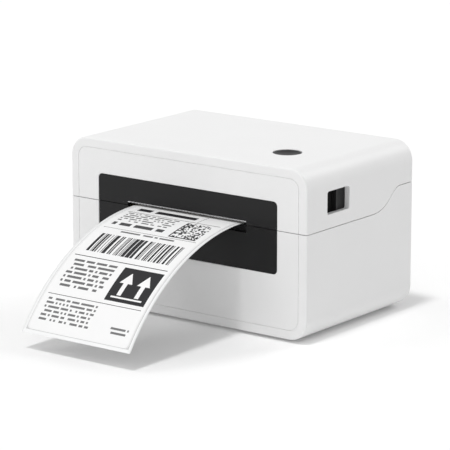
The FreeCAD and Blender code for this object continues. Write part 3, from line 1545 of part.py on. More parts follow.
def rack_teeth(side):
    """Row of rack teeth that faces the guide pinion, in mesh with it at rest."""
    module = number("rack_module")
    pitch = math.pi * module
    slope = math.tan(PRESSURE_ANGLE)
    root = number(RACK_INNER)
    line = number(RACK_PITCH_RADIUS)
    tip = line - TIP_HEIGHT * module
    half_pitch = pitch / 4 - number("tooth_backlash") / 2
    half_root = half_pitch + (root - line) * slope
    half_tip = half_pitch - (line - tip) * slope
    corners = ((-half_root, root), (-half_tip, tip), (half_tip, tip), (half_root, root))
    first = math.floor(number("rack_lead") / pitch - 0.5) + 0.5
    solids = []
    for index in range(RACK_TEETH):
        middle = pitch * (first - index)
        outline = [FreeCAD.Vector(-side * (middle + x), side * y, 0) for x, y in corners]
        face = Part.Face(Part.makePolygon(outline + outline[:1]))
        solids.append(face.extrude(FreeCAD.Vector(0, 0, number("rack_height"))))
    return solids


def make_guide(side, name):
    """Fence with a foot on the deck, a stem through the deck and a rack below it."""
    y_low = f"({GUIDE_Y} - guide_length / 2)"
    y_high = f"({GUIDE_Y} + guide_length / 2)"
    sole = f"({DECK_TOP} + slide_gap)"

    def span(low, high):
        return (low, high) if side > 0 else (f"-{high}", f"-{low}")

    fence = block(span(FENCE_IN, FENCE_OUT), (y_low, y_high), (sole, f"{sole} + guide_height"))
    foot_out = f"({FENCE_IN} + guide_foot)"
    foot = block(span(FENCE_IN, foot_out), (y_low, y_high), (sole, f"{sole} + guide_thick / 2"))
    rows = rack_rows(side)
    stem = block(span(FENCE_IN, STEM_OUT), rows, (RACK_LOW, f"{sole} + guide_thick / 4"))
    bar = block(span("(-rack_lead)", STEM_OUT), rows, (RACK_LOW, RACK_TOP))
    teeth = [formed(tooth, "0", GUIDE_Y, RACK_LOW) for tooth in rack_teeth(side)]
    return keep(fuse(fence, foot, stem, bar, *teeth), name)


def make_guides():
    """Two guides and the pinion between their racks, held by a screw from below."""
    make_guide(-1, "guide_left")
    make_guide(1, "guide_right")
    width = number("rack_height")
    blank = gear_blank(GUIDE_TEETH, number("rack_module"), width, math.pi / 2)
    hole = Part.makeCylinder(number("guide_post + run_gap"), 3 * width, FreeCAD.Vector(0, 0, -width))
    keep(formed(blank.cut(hole), "0", GUIDE_Y, RACK_LOW), "guide_pinion")
    keep(screw("0", GUIDE_Y, f"({RACK_LOW} - slide_gap)", 1, "boss_bore"), "guide_screw")


SENSOR_Y = behind("deck_opening + sensor_gap")


def sensor_outline(grow):
    """Outline of the gap sensor, let out by a margin."""
    half_x = f"(sensor_length / 2 + {grow})"
    half_y = f"(sensor_width / 2 + {grow})"
    return rectangle(f"-{half_x}", half_x, f"{SENSOR_Y} - {half_y}", f"{SENSOR_Y} + {half_y}")


def make_gap_sensor():
    body = new_body("gap_sensor")
    pad(body, "XY", f"({DECK_TOP} - sensor_thick)", 1, "sensor_thick", sensor_outline("0"))
    pocket(body, "XY", DECK_TOP, -1, "sensor_lens_depth", circle("0", SENSOR_Y, "sensor_lens"))
    keep(body, "gap_sensor")


# Label

def strip_outline(low, tail, lead):
    """Section of a paper strip: flat from its tail to the slot, then one arc down to its free end."""
    bend = behind("curl_start")
    start = behind(tail)
    hub = f"({LEVEL} - label_curl)"
    inner = f"({low} - {hub})"
    outer = f"({inner} + paper_thick)"
    turn = f"({LABEL_SWEEP} - {lead} / label_curl * 180 / pi * 1 deg)"

    def draw(sketch):
        y0, y1, z, thick = (number(words) for words in (bend, start, low, "paper_thick"))
        centre = point(y0, number(hub))
        upright = FreeCAD.Vector(0, 0, 1)
        rings = [Part.Circle(centre, upright, number(radius)) for radius in (inner, outer)]
        last = math.pi / 2 + math.radians(number(turn))
        arcs = [Part.ArcOfCircle(ring, math.pi / 2, last) for ring in rings]
        chain = (
            Part.LineSegment(point(y1, z), point(y0, z)), arcs[0],
            Part.LineSegment(arcs[0].EndPoint, arcs[1].EndPoint), arcs[1],
            Part.LineSegment(point(y0, z + thick), point(y1, z + thick)),
            Part.LineSegment(point(y1, z + thick), point(y1, z)),
        )
        under, low_arc, tip, high_arc, over, butt = [sketch.addGeometry(item) for item in chain]
        joints = (
            (under, 2, low_arc, 1), (low_arc, 2, tip, 1), (tip, 2, high_arc, 2),
            (high_arc, 1, over, 1), (over, 2, butt, 1), (butt, 2, under, 1), (low_arc, 3, high_arc, 3),
        )
        for joint in joints:
            sketch.addConstraint(Sketcher.Constraint("Coincident", *joint))
        for line in (under, over):
            sketch.addConstraint(Sketcher.Constraint("Horizontal", line))
        pin_point(sketch, low_arc, 3, bend, hub)
        for arc, radius in ((low_arc, inner), (high_arc, outer)):
            bind(sketch, Sketcher.Constraint("Radius", arc, number(radius)), radius)
            free_end = f"{bend} - {radius} * sin({turn})"
            for end, words in ((1, bend), (2, free_end)):
                bind(sketch, Sketcher.Constraint("DistanceX", -1, 1, arc, end, number(words)), words)
        for line, end in ((under, 1), (over, 2)):
            bind(sketch, Sketcher.Constraint("DistanceX", -1, 1, line, end, y1), start)
    return draw


def make_label():
    """The backing liner and the label on it, both set down in from the liner's edges and ends."""
    liner = new_body("label_liner")
    pad(liner, "YZ", "0", 0, "label_width", strip_outline(f"({LEVEL} - paper_thick)", "label_tail", "0"))
    keep(liner, "label_liner")
    label = new_body("printed_label")
    section = strip_outline(f"({LEVEL} + paper_gap)", "(label_tail - label_end_gap)", "label_end_gap")
    pad(label, "YZ", "0", 0, "label_width - 2 * label_margin", section)
    keep(label, "printed_label")


# Electrics

def make_main_board():
    """Circuit board on four stand-offs of the base, with its screws."""
    body = new_body("main_board")
    outline = rectangle(BOARD_LEFT, BOARD_RIGHT, f"({BOARD_BACK} - board_depth)", BOARD_BACK)
    pad(body, "XY", "board_level", 1, "board_thick", outline)
    for x, y in board_screw_places():
        pocket(body, "XY", "board_level", 1, "board_thick", circle(x, y, "screw_radius"))
    keep(body, "main_board")
    top = "(board_level + board_thick)"
    screws = [screw(x, y, top, -1, "(board_thick + screw_bite)") for x, y in board_screw_places()]
    keep(group(*screws), "board_screws")


SOCKET_FOOT = "(board_level + board_thick)"
SOCKET_MOUTH = f"({BAY_FLOOR} - slide_gap)"
SOCKET_INNER = f"({BOARD_BACK} - slide_gap)"


def about(middle, size):
    """Pair of formulas that lie half a size to either side of a middle."""
    return f"{middle} - ({size}) / 2", f"{middle} + ({size}) / 2"


def make_power_socket():
    """Round power jack with its pin, standing on the board and showing in the bay."""
    rear = f"({BOARD_BACK} - power_case_depth)"
    crown = f"{SOCKET_Z} + power_case_rise"
    case = block(about(POWER_X, "power_case_width"), (rear, SOCKET_INNER), (SOCKET_FOOT, crown))
    snout = rod("Y", POWER_X, rear, SOCKET_Z, "power_radius", f"{SOCKET_MOUTH} - {rear}")
    bore_low = f"({BOARD_BACK} - power_bore_depth)"
    bore = rod("Y", POWER_X, bore_low, SOCKET_Z, "power_bore", f"{SOCKET_MOUTH} - {bore_low}")
    pin_low = f"({BOARD_BACK} - power_pin_root)"
    pin = rod("Y", POWER_X, pin_low, SOCKET_Z, "power_pin", f"{SOCKET_MOUTH} - power_pin_sink - {pin_low}")
    keep(fuse(cut(fuse(case, snout), bore), pin), "power_socket")


def make_usb_socket():
    """Square data socket: a shell on the board with a hollow and a tongue."""
    width = about(USB_X, "usb_width")
    shell = block(width, (f"{SOCKET_MOUTH} - usb_length", SOCKET_MOUTH), about(SOCKET_Z, "usb_height"))
    base = block(width, (f"{SOCKET_MOUTH} - usb_length", SOCKET_INNER), (SOCKET_FOOT, SOCKET_Z))
    deep = f"({SOCKET_MOUTH} - usb_hollow)"
    hollow = block(
        about(USB_X, "usb_width - 2 * usb_wall"), (deep, SOCKET_MOUTH),
        about(SOCKET_Z, "usb_height - 2 * usb_wall"),
    )
    tongue = block(
        about(USB_X, "usb_tongue_width"), (f"{deep} - usb_wall", f"{SOCKET_MOUTH} - usb_tongue_sink"),
        about(SOCKET_Z, "usb_tongue_thick"),
    )
    keep(fuse(cut(fuse(shell, base), hollow), tongue), "usb_socket")


ROCKER_Y = f"({BAY_FLOOR} - rocker_sink)"
AXLE_LENGTH = "(rocker_height + 2 * axle_reach)"


def make_switch_body():
    """Frame of the mains switch, snapped into the bay's floor, with the well of the rocker."""
    wide = f"({SWITCH_WIDTH} - 2 * fit_gap)"
    tall = f"({SWITCH_HEIGHT} - 2 * fit_gap)"
    deep = f"({BAY_FLOOR} - switch_depth)"
    rim_face = f"({BAY_FLOOR} + switch_rim_thick)"
    case = block(about(SWITCH_X, wide), (deep, BAY_FLOOR), about("switch_level", tall))
    rim = block(
        about(SWITCH_X, f"{wide} + 2 * switch_rim"), (BAY_FLOOR, rim_face),
        about("switch_level", f"{tall} + 2 * switch_rim"),
    )
    well = block(
        about(SWITCH_X, "rocker_width"), (f"{deep} + switch_bottom", rim_face),
        about("switch_level", "rocker_height"),
    )
    low = f"switch_level - {AXLE_LENGTH} / 2"
    hole = rod("Z", SWITCH_X, ROCKER_Y, low, "axle_radius + run_gap", AXLE_LENGTH)
    keep(cut(fuse(case, rim), well, hole), "switch_body")


def make_switch_rocker():
    """Rocker with a hollowed face and a keel, on an axle through both side walls of the well."""
    body = new_body("switch_rocker")
    half = "(rocker_width / 2 - slide_gap - rocker_taper)"
    face = f"({BAY_FLOOR} + rocker_rise)"
    outline = polygon(
        (f"{SWITCH_X} - {half}", f"{ROCKER_Y} - rocker_belly"), (SWITCH_X, f"{ROCKER_Y} - rocker_keel"),
        (f"{SWITCH_X} + {half}", f"{ROCKER_Y} - rocker_belly"),
        (f"{SWITCH_X} + {half}", f"{face} + rocker_crown"), (SWITCH_X, face),
        (f"{SWITCH_X} - {half}", f"{face} + rocker_crown"),
    )
    pad(body, "XY", "switch_level", 0, "rocker_height - 2 * slide_gap", outline)
    axle = circle(SWITCH_X, ROCKER_Y, "axle_radius")
    pad(body, "XY", "switch_level", 0, f"{AXLE_LENGTH} - slide_gap", axle)
    keep(body, "switch_rocker")


# Building and writing

def check_states():
    """Stops on any object that failed to compute or any piece without a sound shape."""
    document.recompute()
    for item in document.Objects:
        if "Invalid" in item.State or "Error" in item.State:
            raise RuntimeError(f"{item.Name} ({item.Label}) failed: {item.State}")
    for node in nodes:
        if node.Shape.isNull() or not node.Shape.isValid():
            raise RuntimeError(f"{node.Label} has no sound shape")


def write_parts():
    os.makedirs("parts", exist_ok=True)
    for node in nodes:
        node.Shape.exportStep(f"parts/{node.Label}.step")


def build():
    fill_sheet()
    make_base_shell()
    make_top_cover()
    make_bezels()
    make_tear_bar()
    make_feet()
    make_case_screws()
    make_hinge_pins()
    make_latches()
    make_feed_button()
    make_button_switch()
    make_cover_frame()
    make_print_head()
    make_head_sink()
    make_platen()
    make_bushes()
    make_gears()
    make_side_plates()
    make_motor()
    make_idler_pin()
    make_media_deck()
    make_guides()
    make_gap_sensor()
    make_label()
    make_main_board()
    make_power_socket()
    make_usb_socket()
    make_switch_body()
    make_switch_rocker()
    check_states()
    write_parts()


build()
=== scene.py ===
"""Looks of a thermal label printer: its moulded, metal and paper finishes, its label strip and the studio."""

import logging
import math
from dataclasses import dataclass, replace
from enum import Enum
from typing import ClassVar, Protocol

import bpy
import numpy as np
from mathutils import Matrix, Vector


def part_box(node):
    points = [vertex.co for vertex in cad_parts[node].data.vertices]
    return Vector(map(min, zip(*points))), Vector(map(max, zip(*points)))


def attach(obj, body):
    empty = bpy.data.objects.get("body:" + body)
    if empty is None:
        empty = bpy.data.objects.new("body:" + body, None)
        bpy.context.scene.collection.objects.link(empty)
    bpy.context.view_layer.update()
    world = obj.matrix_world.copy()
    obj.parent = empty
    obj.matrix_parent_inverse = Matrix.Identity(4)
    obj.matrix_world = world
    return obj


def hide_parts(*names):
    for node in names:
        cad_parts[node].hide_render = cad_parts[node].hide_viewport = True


log = logging.getLogger("label_printer")
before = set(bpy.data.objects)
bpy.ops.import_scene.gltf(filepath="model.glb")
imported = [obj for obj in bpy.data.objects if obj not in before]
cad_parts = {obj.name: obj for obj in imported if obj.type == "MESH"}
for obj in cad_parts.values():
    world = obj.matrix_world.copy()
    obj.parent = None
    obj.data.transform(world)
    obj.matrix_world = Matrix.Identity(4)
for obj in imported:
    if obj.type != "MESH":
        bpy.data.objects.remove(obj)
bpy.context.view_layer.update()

Socket = bpy.types.NodeSocket
Node = bpy.types.Node
Tree = bpy.types.NodeTree
Material = bpy.types.Material
Colour = tuple[float, float, float]
Point = tuple[float, float, float]
Value = Socket | float | tuple[float, ...]

MM = 0.001
MICRON = 0.000001
ORIGIN: Point = (0.0, 0.0, 0.0)
EVEN: Point = (1.0, 1.0, 1.0)
WHITE: Colour = (1.0, 1.0, 1.0)


class Body(Enum):
    """The moving bodies that a new piece can ride on."""

    BASE = "base"


class Slot(Enum):
    """The record's material slots of the nodes that the new pieces stand for."""

    LINER = "liner_paper"
    LABEL = "label_paper"


class Held(Enum):
    """How a paper is held."""

    HUNG = "hung"
    LAID = "laid"


class Along(Enum):
    """The direction in which a metal piece was drawn, ground or extruded, as a stretch of its grain."""

    X = (0.03, 1.0, 1.0)
    Y = (1.0, 0.03, 1.0)
    Z = (1.0, 1.0, 0.03)
    NONE = (1.0, 1.0, 1.0)


class Sum(Enum):
    """The sums that the finishes work out."""

    TAKE = "SUBTRACT"
    TIMES = "MULTIPLY"
    WITHIN = "COMPARE"
    MORE = "GREATER_THAN"
    LESS = "LESS_THAN"
    LARGER = "MAXIMUM"
    SIZE = "ABSOLUTE"
    PART = "FRACT"


def opaque(colour: Colour, times: float = 1.0, plus: float = 0.0) -> tuple[float, ...]:
    """A colour with full alpha, scaled and then raised, and at most white.

    Args:
        colour: the colour.
        times: its scale.
        plus: what is added to each channel.

    Returns:
        The four channels.
    """
    return tuple(min(1.0, channel * times + plus) for channel in colour) + (1.0,)


class Graph:
    """Adds nodes to one node tree and joins their sockets.

    Attributes:
        MIX_SHARE: the place of the share among the inputs of a colour mix.
        MIX_BELOW: the place of its lower colour.
        MIX_ABOVE: the place of its upper colour.
        MIX_RESULT: the place of the mixed colour among its outputs.
    """

    MIX_SHARE: ClassVar[int] = 0
    MIX_BELOW: ClassVar[int] = 6
    MIX_ABOVE: ClassVar[int] = 7
    MIX_RESULT: ClassVar[int] = 2

    def __init__(self, tree: Tree) -> None:
        """Keeps the tree that the nodes go into."""
        self.tree = tree

    def node(self, kind: str, **settings: object) -> Node:
        """Adds a node.

        Args:
            kind: the node type's short name, without ShaderNode.
            settings: properties set on the node.

        Returns:
            The new node.
        """
        made = self.tree.nodes.new(kind if kind.startswith("Node") else "ShaderNode" + kind)
        for name, value in settings.items():
            setattr(made, name, value)
        return made

    def put(self, target: Socket, source: Value) -> None:
        """Links a socket to the target, or sets the target's own value.

        Args:
            target: the input.
            source: a socket or a plain value.
        """
        if isinstance(source, Socket):
            self.tree.links.new(source, target)
        else:
            target.default_value = source

    def sum(self, how: Sum, a: Value, b: Value = 0.0, c: Value = 0.0) -> Socket:
        """Works out one sum of up to three terms.

        Args:
            how: the sum.
            a: the first term.
            b: the second term.
            c: the third term, which is the half width where the sum is WITHIN.

        Returns:
            The socket with the result.
        """
        made = self.node("Math", operation=how.value)
        for target, source in zip(made.inputs, (a, b, c)):
            self.put(target, source)
        return made.outputs[0]

    def spread(self, value: Socket, low: Value, high: Value, start: Value = 0.0, end: Value = 1.0) -> Socket:
        """Maps a value from start..end to low..high.

        Args:
            value: the socket to map.
            low: the result at start.
            high: the result at end.
            start: the value that gives low.
            end: the value that gives high.

        Returns:
            The mapped socket.
        """
        made = self.node("MapRange")
        terms = {"Value": value, "From Min": start, "From Max": end, "To Min": low, "To Max": high}
        for name, source in terms.items():
            self.put(made.inputs[name], source)
        return made.outputs[0]

    def mix(self, share: Socket, below: Value, above: Value) -> Socket:
        """Mixes two colours.

        Args:
            share: how much of the upper colour shows, from 0 to 1.
            below: the lower colour.
            above: the upper colour.

        Returns:
            The mixed colour.
        """
        made = self.node("Mix", data_type="RGBA")
        self.put(made.inputs[self.MIX_SHARE], share)
        self.put(made.inputs[self.MIX_BELOW], below)
        self.put(made.inputs[self.MIX_ABOVE], above)
        return made.outputs[self.MIX_RESULT]

    def place(self, scale: Point = EVEN, at: Point = ORIGIN, on_map: bool = False) -> Socket:
        """The piece's own coordinates, scaled and then shifted.

        Args:
            scale: the stretch along each axis.
            at: the shift after it.
            on_map: whether the piece's flat map is read in place of its position in metres.

        Returns:
            The socket with the coordinates.
        """
        made = self.node("Mapping")
        self.put(made.inputs["Vector"], self.node("TexCoord").outputs["UV" if on_map else "Object"])
        self.put(made.inputs["Scale"], scale)
        self.put(made.inputs["Location"], at)
        return made.outputs[0]

    def split(self, vector: Socket) -> list[Socket]:
        """Takes a vector apart into x, y and z.

        Args:
            vector: the vector.

        Returns:
            The three sockets.
        """
        made = self.node("SeparateXYZ")
        self.put(made.inputs[0], vector)
        return list(made.outputs)

    def use(self, group: Tree, **values: Value) -> Node:
        """Places a shared effect in this tree.

        Args:
            group: the effect.
            values: its inputs by name.

        Returns:
            The group's node.
        """
        made = self.node("Group", node_tree=group)
        for name, source in values.items():
            self.put(made.inputs[name], source)
        return made

    def relief(self, shader: Node, height: Socket, depth: float, strength: float) -> None:
        """Raises the surface by a height, through a bump on the shader's normal.

        Args:
            shader: the shader.
            height: the height, from 0 to 1.
            depth: how deep that is, in metres.
            strength: how much of it shows.
        """
        bump = self.node("Bump")
        self.put(bump.inputs["Height"], height)
        self.put(bump.inputs["Distance"], depth)
        self.put(bump.inputs["Strength"], strength)
        self.put(shader.inputs["Normal"], bump.outputs[0])


class Effects:
    """The effects that several finishes share, each built once as a node group.

    Attributes:
        NOISE: the low and high ends between which layered noise mostly lies.
        PATCHES: the narrower ends that break a mask into patches.
        EDGE: how closely two normals agree on a full edge and on a flat face.
        CLOSED: the open share at which a gap counts as closed.
        GRAIN_LAYERS: the finer layers in the noise of a grain.
        MOTTLE_LAYERS: the finer layers in the noise of slow change.
        PATCH_LAYERS: the finer layers in the noise of patches.
        EDGE_RAYS: the rays that find a rounded normal.
        GAP_RAYS: the rays that find open directions.
    """

    NOISE: ClassVar[tuple[float, float]] = (0.3, 0.7)
    PATCHES: ClassVar[tuple[float, float]] = (0.35, 0.65)
    EDGE: ClassVar[tuple[float, float]] = (0.75, 0.99)
    CLOSED: ClassVar[float] = 0.02
    GRAIN_LAYERS: ClassVar[float] = 3.0
    MOTTLE_LAYERS: ClassVar[float] = 4.0
    PATCH_LAYERS: ClassVar[float] = 2.0
    EDGE_RAYS: ClassVar[int] = 4
    GAP_RAYS: ClassVar[int] = 6

    def __init__(self) -> None:
        """Builds every effect."""
        self.grain = self._grain()
        self.mottle = self._mottle()
        self.edge_wear_and_highlight = self._worn_highlit_edge_group()
        self.shade_in_gaps = self._painted_shade_group()
        self.block = self._block()
        self.rows = self._rows()

    def _start(
        self, name: str, output: str, **inputs: float | Point
    ) -> tuple[Graph, dict[str, Socket], Socket]:
        """Opens a group with its named sockets.

        Args:
            name: the group's name.
            output: the name of its output, which is a value.
            inputs: each input's name and first value; three numbers make it a vector.

        Returns:
            The graph, its inputs by name and its output.
        """
        tree = bpy.data.node_groups.new(name, "ShaderNodeTree")
        for label, value in inputs.items():
            kind = "NodeSocketVector" if isinstance(value, tuple) else "NodeSocketFloat"
            tree.interface.new_socket(label, in_out="INPUT", socket_type=kind).default_value = value
        tree.interface.new_socket(output, in_out="OUTPUT", socket_type="NodeSocketFloat")
        graph = Graph(tree)
        start = graph.node("NodeGroupInput").outputs
        return graph, {label: start[label] for label in inputs}, graph.node("NodeGroupOutput").inputs[output]

    def _noise(self, graph: Graph, start: dict[str, Socket], detail: float) -> Socket:
        """Layered noise on a group's own Vector and Scale.

        Args:
            graph: the group's graph.
            start: the group's inputs.
            detail: how many finer layers it has.

        Returns:
            The noise, about 0 to 1.
        """
        made = graph.node("TexNoise")
        graph.put(made.inputs["Vector"], start["Vector"])
        graph.put(made.inputs["Scale"], start["Scale"])
        graph.put(made.inputs["Detail"], detail)
        return made.outputs[0]

    def _grain(self) -> Tree:
        """Fine even grain: layered noise of a given pitch, as a height from 0 to 1.

        Returns:
            The group.
        """
        graph, start, end = self._start("fine_grain", "Height", Vector=ORIGIN, Scale=1500.0)
        graph.put(end, self._noise(graph, start, self.GRAIN_LAYERS))
        return graph.tree

    def _mottle(self) -> Tree:
        """Slow change over a surface: broad noise spread between two values.

        Returns:
            The group.
        """
        graph, start, end = self._start(
            "slow_mottle", "Value", Vector=ORIGIN, Scale=40.0, Low=0.0, High=1.0)
        noise = self._noise(graph, start, self.MOTTLE_LAYERS)
        graph.put(end, graph.spread(noise, start["Low"], start["High"], *self.NOISE))
        return graph.tree

    def _worn_highlit_edge_group(self) -> Tree:
        """Paler edges, worn and carrying a painted highlight: where a normal rounded over a small radius
        leaves the face's own, in noisy patches.

        Returns:
            The group.
        """
        graph, start, end = self._start(
            "worn_and_highlit_edges", "Mask", Vector=ORIGIN, Radius=0.6 * MM, Scale=220.0)
        rounded = graph.node("Bevel", samples=self.EDGE_RAYS)
        graph.put(rounded.inputs["Radius"], start["Radius"])
        agree = graph.node("VectorMath", operation="DOT_PRODUCT")
        graph.put(agree.inputs[0], rounded.outputs[0])
        graph.put(agree.inputs[1], graph.node("NewGeometry").outputs["Normal"])
        edge = graph.spread(agree.outputs["Value"], 1.0, 0.0, *self.EDGE)
        noise = self._noise(graph, start, self.PATCH_LAYERS)
        patches = graph.spread(noise, 0.0, 1.0, *self.PATCHES)
        graph.put(end, graph.sum(Sum.TIMES, edge, patches))
        return graph.tree

    def _painted_shade_group(self) -> Tree:
        """Painted shade in seams, grooves and hollows: 1 where few directions within a small reach are open,
        falling to 0 at a given open share.

        Returns:
            The group.
        """
        graph, start, end = self._start("painted_seam_shade", "Mask", Reach=3.0 * MM, Open=0.17)
        around = graph.node("AmbientOcclusion", samples=self.GAP_RAYS, only_local=False)
        graph.put(around.inputs["Distance"], start["Reach"])
        graph.put(end, graph.spread(around.outputs["AO"], 1.0, 0.0, self.CLOSED, start["Open"]))
        return graph.tree

    def _block(self) -> Tree:
        """A printed rectangle: 1 where both flat coordinates lie within half a size of its middle.

        Returns:
            The group.
        """
        graph, start, end = self._start(
            "printed_block", "Mask", Vector=ORIGIN, Middle=ORIGIN, Half=(1.0, 1.0, 0.0))
        terms = [graph.split(start[name]) for name in ("Vector", "Middle", "Half")]
        across, along = (graph.sum(Sum.WITHIN, *(term[axis] for term in terms)) for axis in (0, 1))
        graph.put(end, graph.sum(Sum.TIMES, across, along))
        return graph.tree

    def _rows(self) -> Tree:
        """Printed cells: the flat coordinates are cut into cells, each is inked by its own fixed chance, and
        a margin of each cell along the strip stays bare. Low cells give plain bars, tall ones give stripes.

        Returns:
            The group.
        """
        graph, start, end = self._start(
            "printed_cells", "Mask", Vector=ORIGIN, Cell=EVEN, Seed=0.0, Bare=0.5, Gap=0.0)
        cut = graph.node("VectorMath", operation="DIVIDE")
        graph.put(cut.inputs[0], start["Vector"])
        graph.put(cut.inputs[1], start["Cell"])
        corner = graph.node("VectorMath", operation="FLOOR")
        graph.put(corner.inputs[0], cut.outputs[0])
        chance = graph.node("TexWhiteNoise", noise_dimensions="4D")
        graph.put(chance.inputs["Vector"], corner.outputs[0])
        graph.put(chance.inputs["W"], start["Seed"])
        inked = graph.sum(Sum.MORE, chance.outputs["Value"], start["Bare"])
        height = graph.sum(Sum.PART, graph.split(cut.outputs[0])[1])
        graph.put(end, graph.sum(Sum.TIMES, inked, graph.sum(Sum.MORE, height, start["Gap"])))
        return graph.tree


class Finish(Protocol):
    """Anything that makes a material from the shared effects."""

    def build(self, effects: Effects) -> Material:
        """Makes the material."""


def material(name: str) -> tuple[Material, Graph, Node]:
    """Opens a material with its shader.

    Args:
        name: the material's name.

    Returns:
        The material, its graph and its Principled shader.
    """
    made = bpy.data.materials.new(name)
    made.use_nodes = True
    return made, Graph(made.node_tree), made.node_tree.nodes["Principled BSDF"]


@dataclass(frozen=True)
class Plastic:
    """A moulded plastic or rubber with a spark-eroded grain, slow colour drift, lightly worn edges that also
    carry a painted highlight, and painted shade in its seams and grooves.

    Attributes:
        name: the material's name.
        colour: its colour.
        rough: the middle of its roughness.
        drift: the share by which the colour drifts over the surface; the roughness drifts by twice that.
        pitch: grain cells in a metre.
        relief: the grain's depth.
        specular: the shader's specular level.
        rubbed_and_highlit: how much paler the edges are, as worn edges and as a painted edge highlight.
        sheer: how much light passes into the piece.
        shade_in_gaps: how much painted shade darkens its seams and grooves.
        clouds: clouds of colour in a metre.
        patches: patches of roughness in a metre.
        strength: how much of the relief shows.
        depth: how far light that passes in spreads.
    """

    name: str
    colour: Colour
    rough: float = 0.45
    drift: float = 0.04
    pitch: float = 1600.0
    relief: float = 20.0 * MICRON
    specular: float = 0.5
    rubbed_and_highlit: float = 0.0
    sheer: float = 0.0
    shade_in_gaps: float = 0.0
    clouds: float = 22.0
    patches: float = 90.0
    strength: float = 0.35
    depth: float = 2.0 * MM

    def build(self, effects: Effects) -> Material:
        """Makes the material.

        Args:
            effects: the shared effects.

        Returns:
            The material.
        """
        made, graph, shader = material(self.name)
        place = graph.place()
        drift = graph.use(effects.mottle, Vector=place, Scale=self.clouds).outputs[0]
        dark = opaque(self.colour, 1.0 - self.drift)
        pale = opaque(self.colour, 1.0 + self.drift)
        colour = graph.mix(drift, dark, pale)
        # Paler edges: worn edges, and on the white case mostly a painted edge highlight.
        if self.rubbed_and_highlit:
            edge_wear_and_highlight = graph.use(effects.edge_wear_and_highlight, Vector=place).outputs[0]
            colour = graph.mix(edge_wear_and_highlight, colour, opaque(self.colour, plus=self.rubbed_and_highlit))
        # Painted shade: seams and grooves darkened where little of the surroundings is open.
        if self.shade_in_gaps:
            closed = graph.use(effects.shade_in_gaps).outputs[0]
            colour = graph.mix(closed, colour, opaque(self.colour, 1.0 - self.shade_in_gaps))
        graph.put(shader.inputs["Base Color"], colour)
        swing = 2.0 * self.drift * self.rough
        rough = graph.use(
            effects.mottle, Vector=place, Scale=self.patches, Low=self.rough - swing, High=self.rough + swing)
        graph.put(shader.inputs["Roughness"], rough.outputs[0])
        grain = graph.use(effects.grain, Vector=place, Scale=self.pitch).outputs["Height"]
        graph.relief(shader, grain, self.relief, self.strength)
        graph.put(shader.inputs["Specular IOR Level"], self.specular)
        if self.sheer:
            graph.put(shader.inputs["Subsurface Weight"], self.sheer)
            graph.put(shader.inputs["Subsurface Radius"], (self.depth,) * 3)
            graph.put(shader.inputs["Subsurface Scale"], 1.0)
        return made


@dataclass(frozen=True)
class MarkedPlastic(Plastic):
    """A moulded plastic with a printed bar and ring, the usual marks for on and off, seen along y.

    Attributes:
        ink: the colour of the marks.
        bar_x: where the bar stands.
        ring_x: where the middle of the ring is.
        level: the height of both marks' middle.
        radius: half the bar's height, and the ring's radius.
        stroke: half the width of the printed line.
    """

    ink: Colour = (0.62, 0.62, 0.62)
    bar_x: float = 0.0
    ring_x: float = 0.0
    level: float = 0.0
    radius: float = 1.5 * MM
    stroke: float = 0.22 * MM

    def build(self, effects: Effects) -> Material:
        """Makes the plastic and prints the marks: a bar where x and z lie near its middle, and a ring where
        the distance from its middle in x and z is near the radius.

        Args:
            effects: the shared effects.

        Returns:
            The material.
        """
        made = super().build(effects)
        graph = Graph(made.node_tree)
        target = made.node_tree.nodes["Principled BSDF"].inputs["Base Color"]
        plain = target.links[0].from_socket
        place = graph.place(scale=(1.0, 0.0, 1.0))
        x, _, z = graph.split(place)
        upright = graph.sum(Sum.WITHIN, x, self.bar_x, self.stroke)
        bar = graph.sum(Sum.TIMES, upright, graph.sum(Sum.WITHIN, z, self.level, self.radius))
        away = graph.node("VectorMath", operation="DISTANCE")
        graph.put(away.inputs[0], place)
        graph.put(away.inputs[1], (self.ring_x, 0.0, self.level))
        ring = graph.sum(Sum.WITHIN, away.outputs["Value"], self.radius, self.stroke)
        graph.put(target, graph.mix(graph.sum(Sum.LARGER, bar, ring), plain, opaque(self.ink)))
        return made


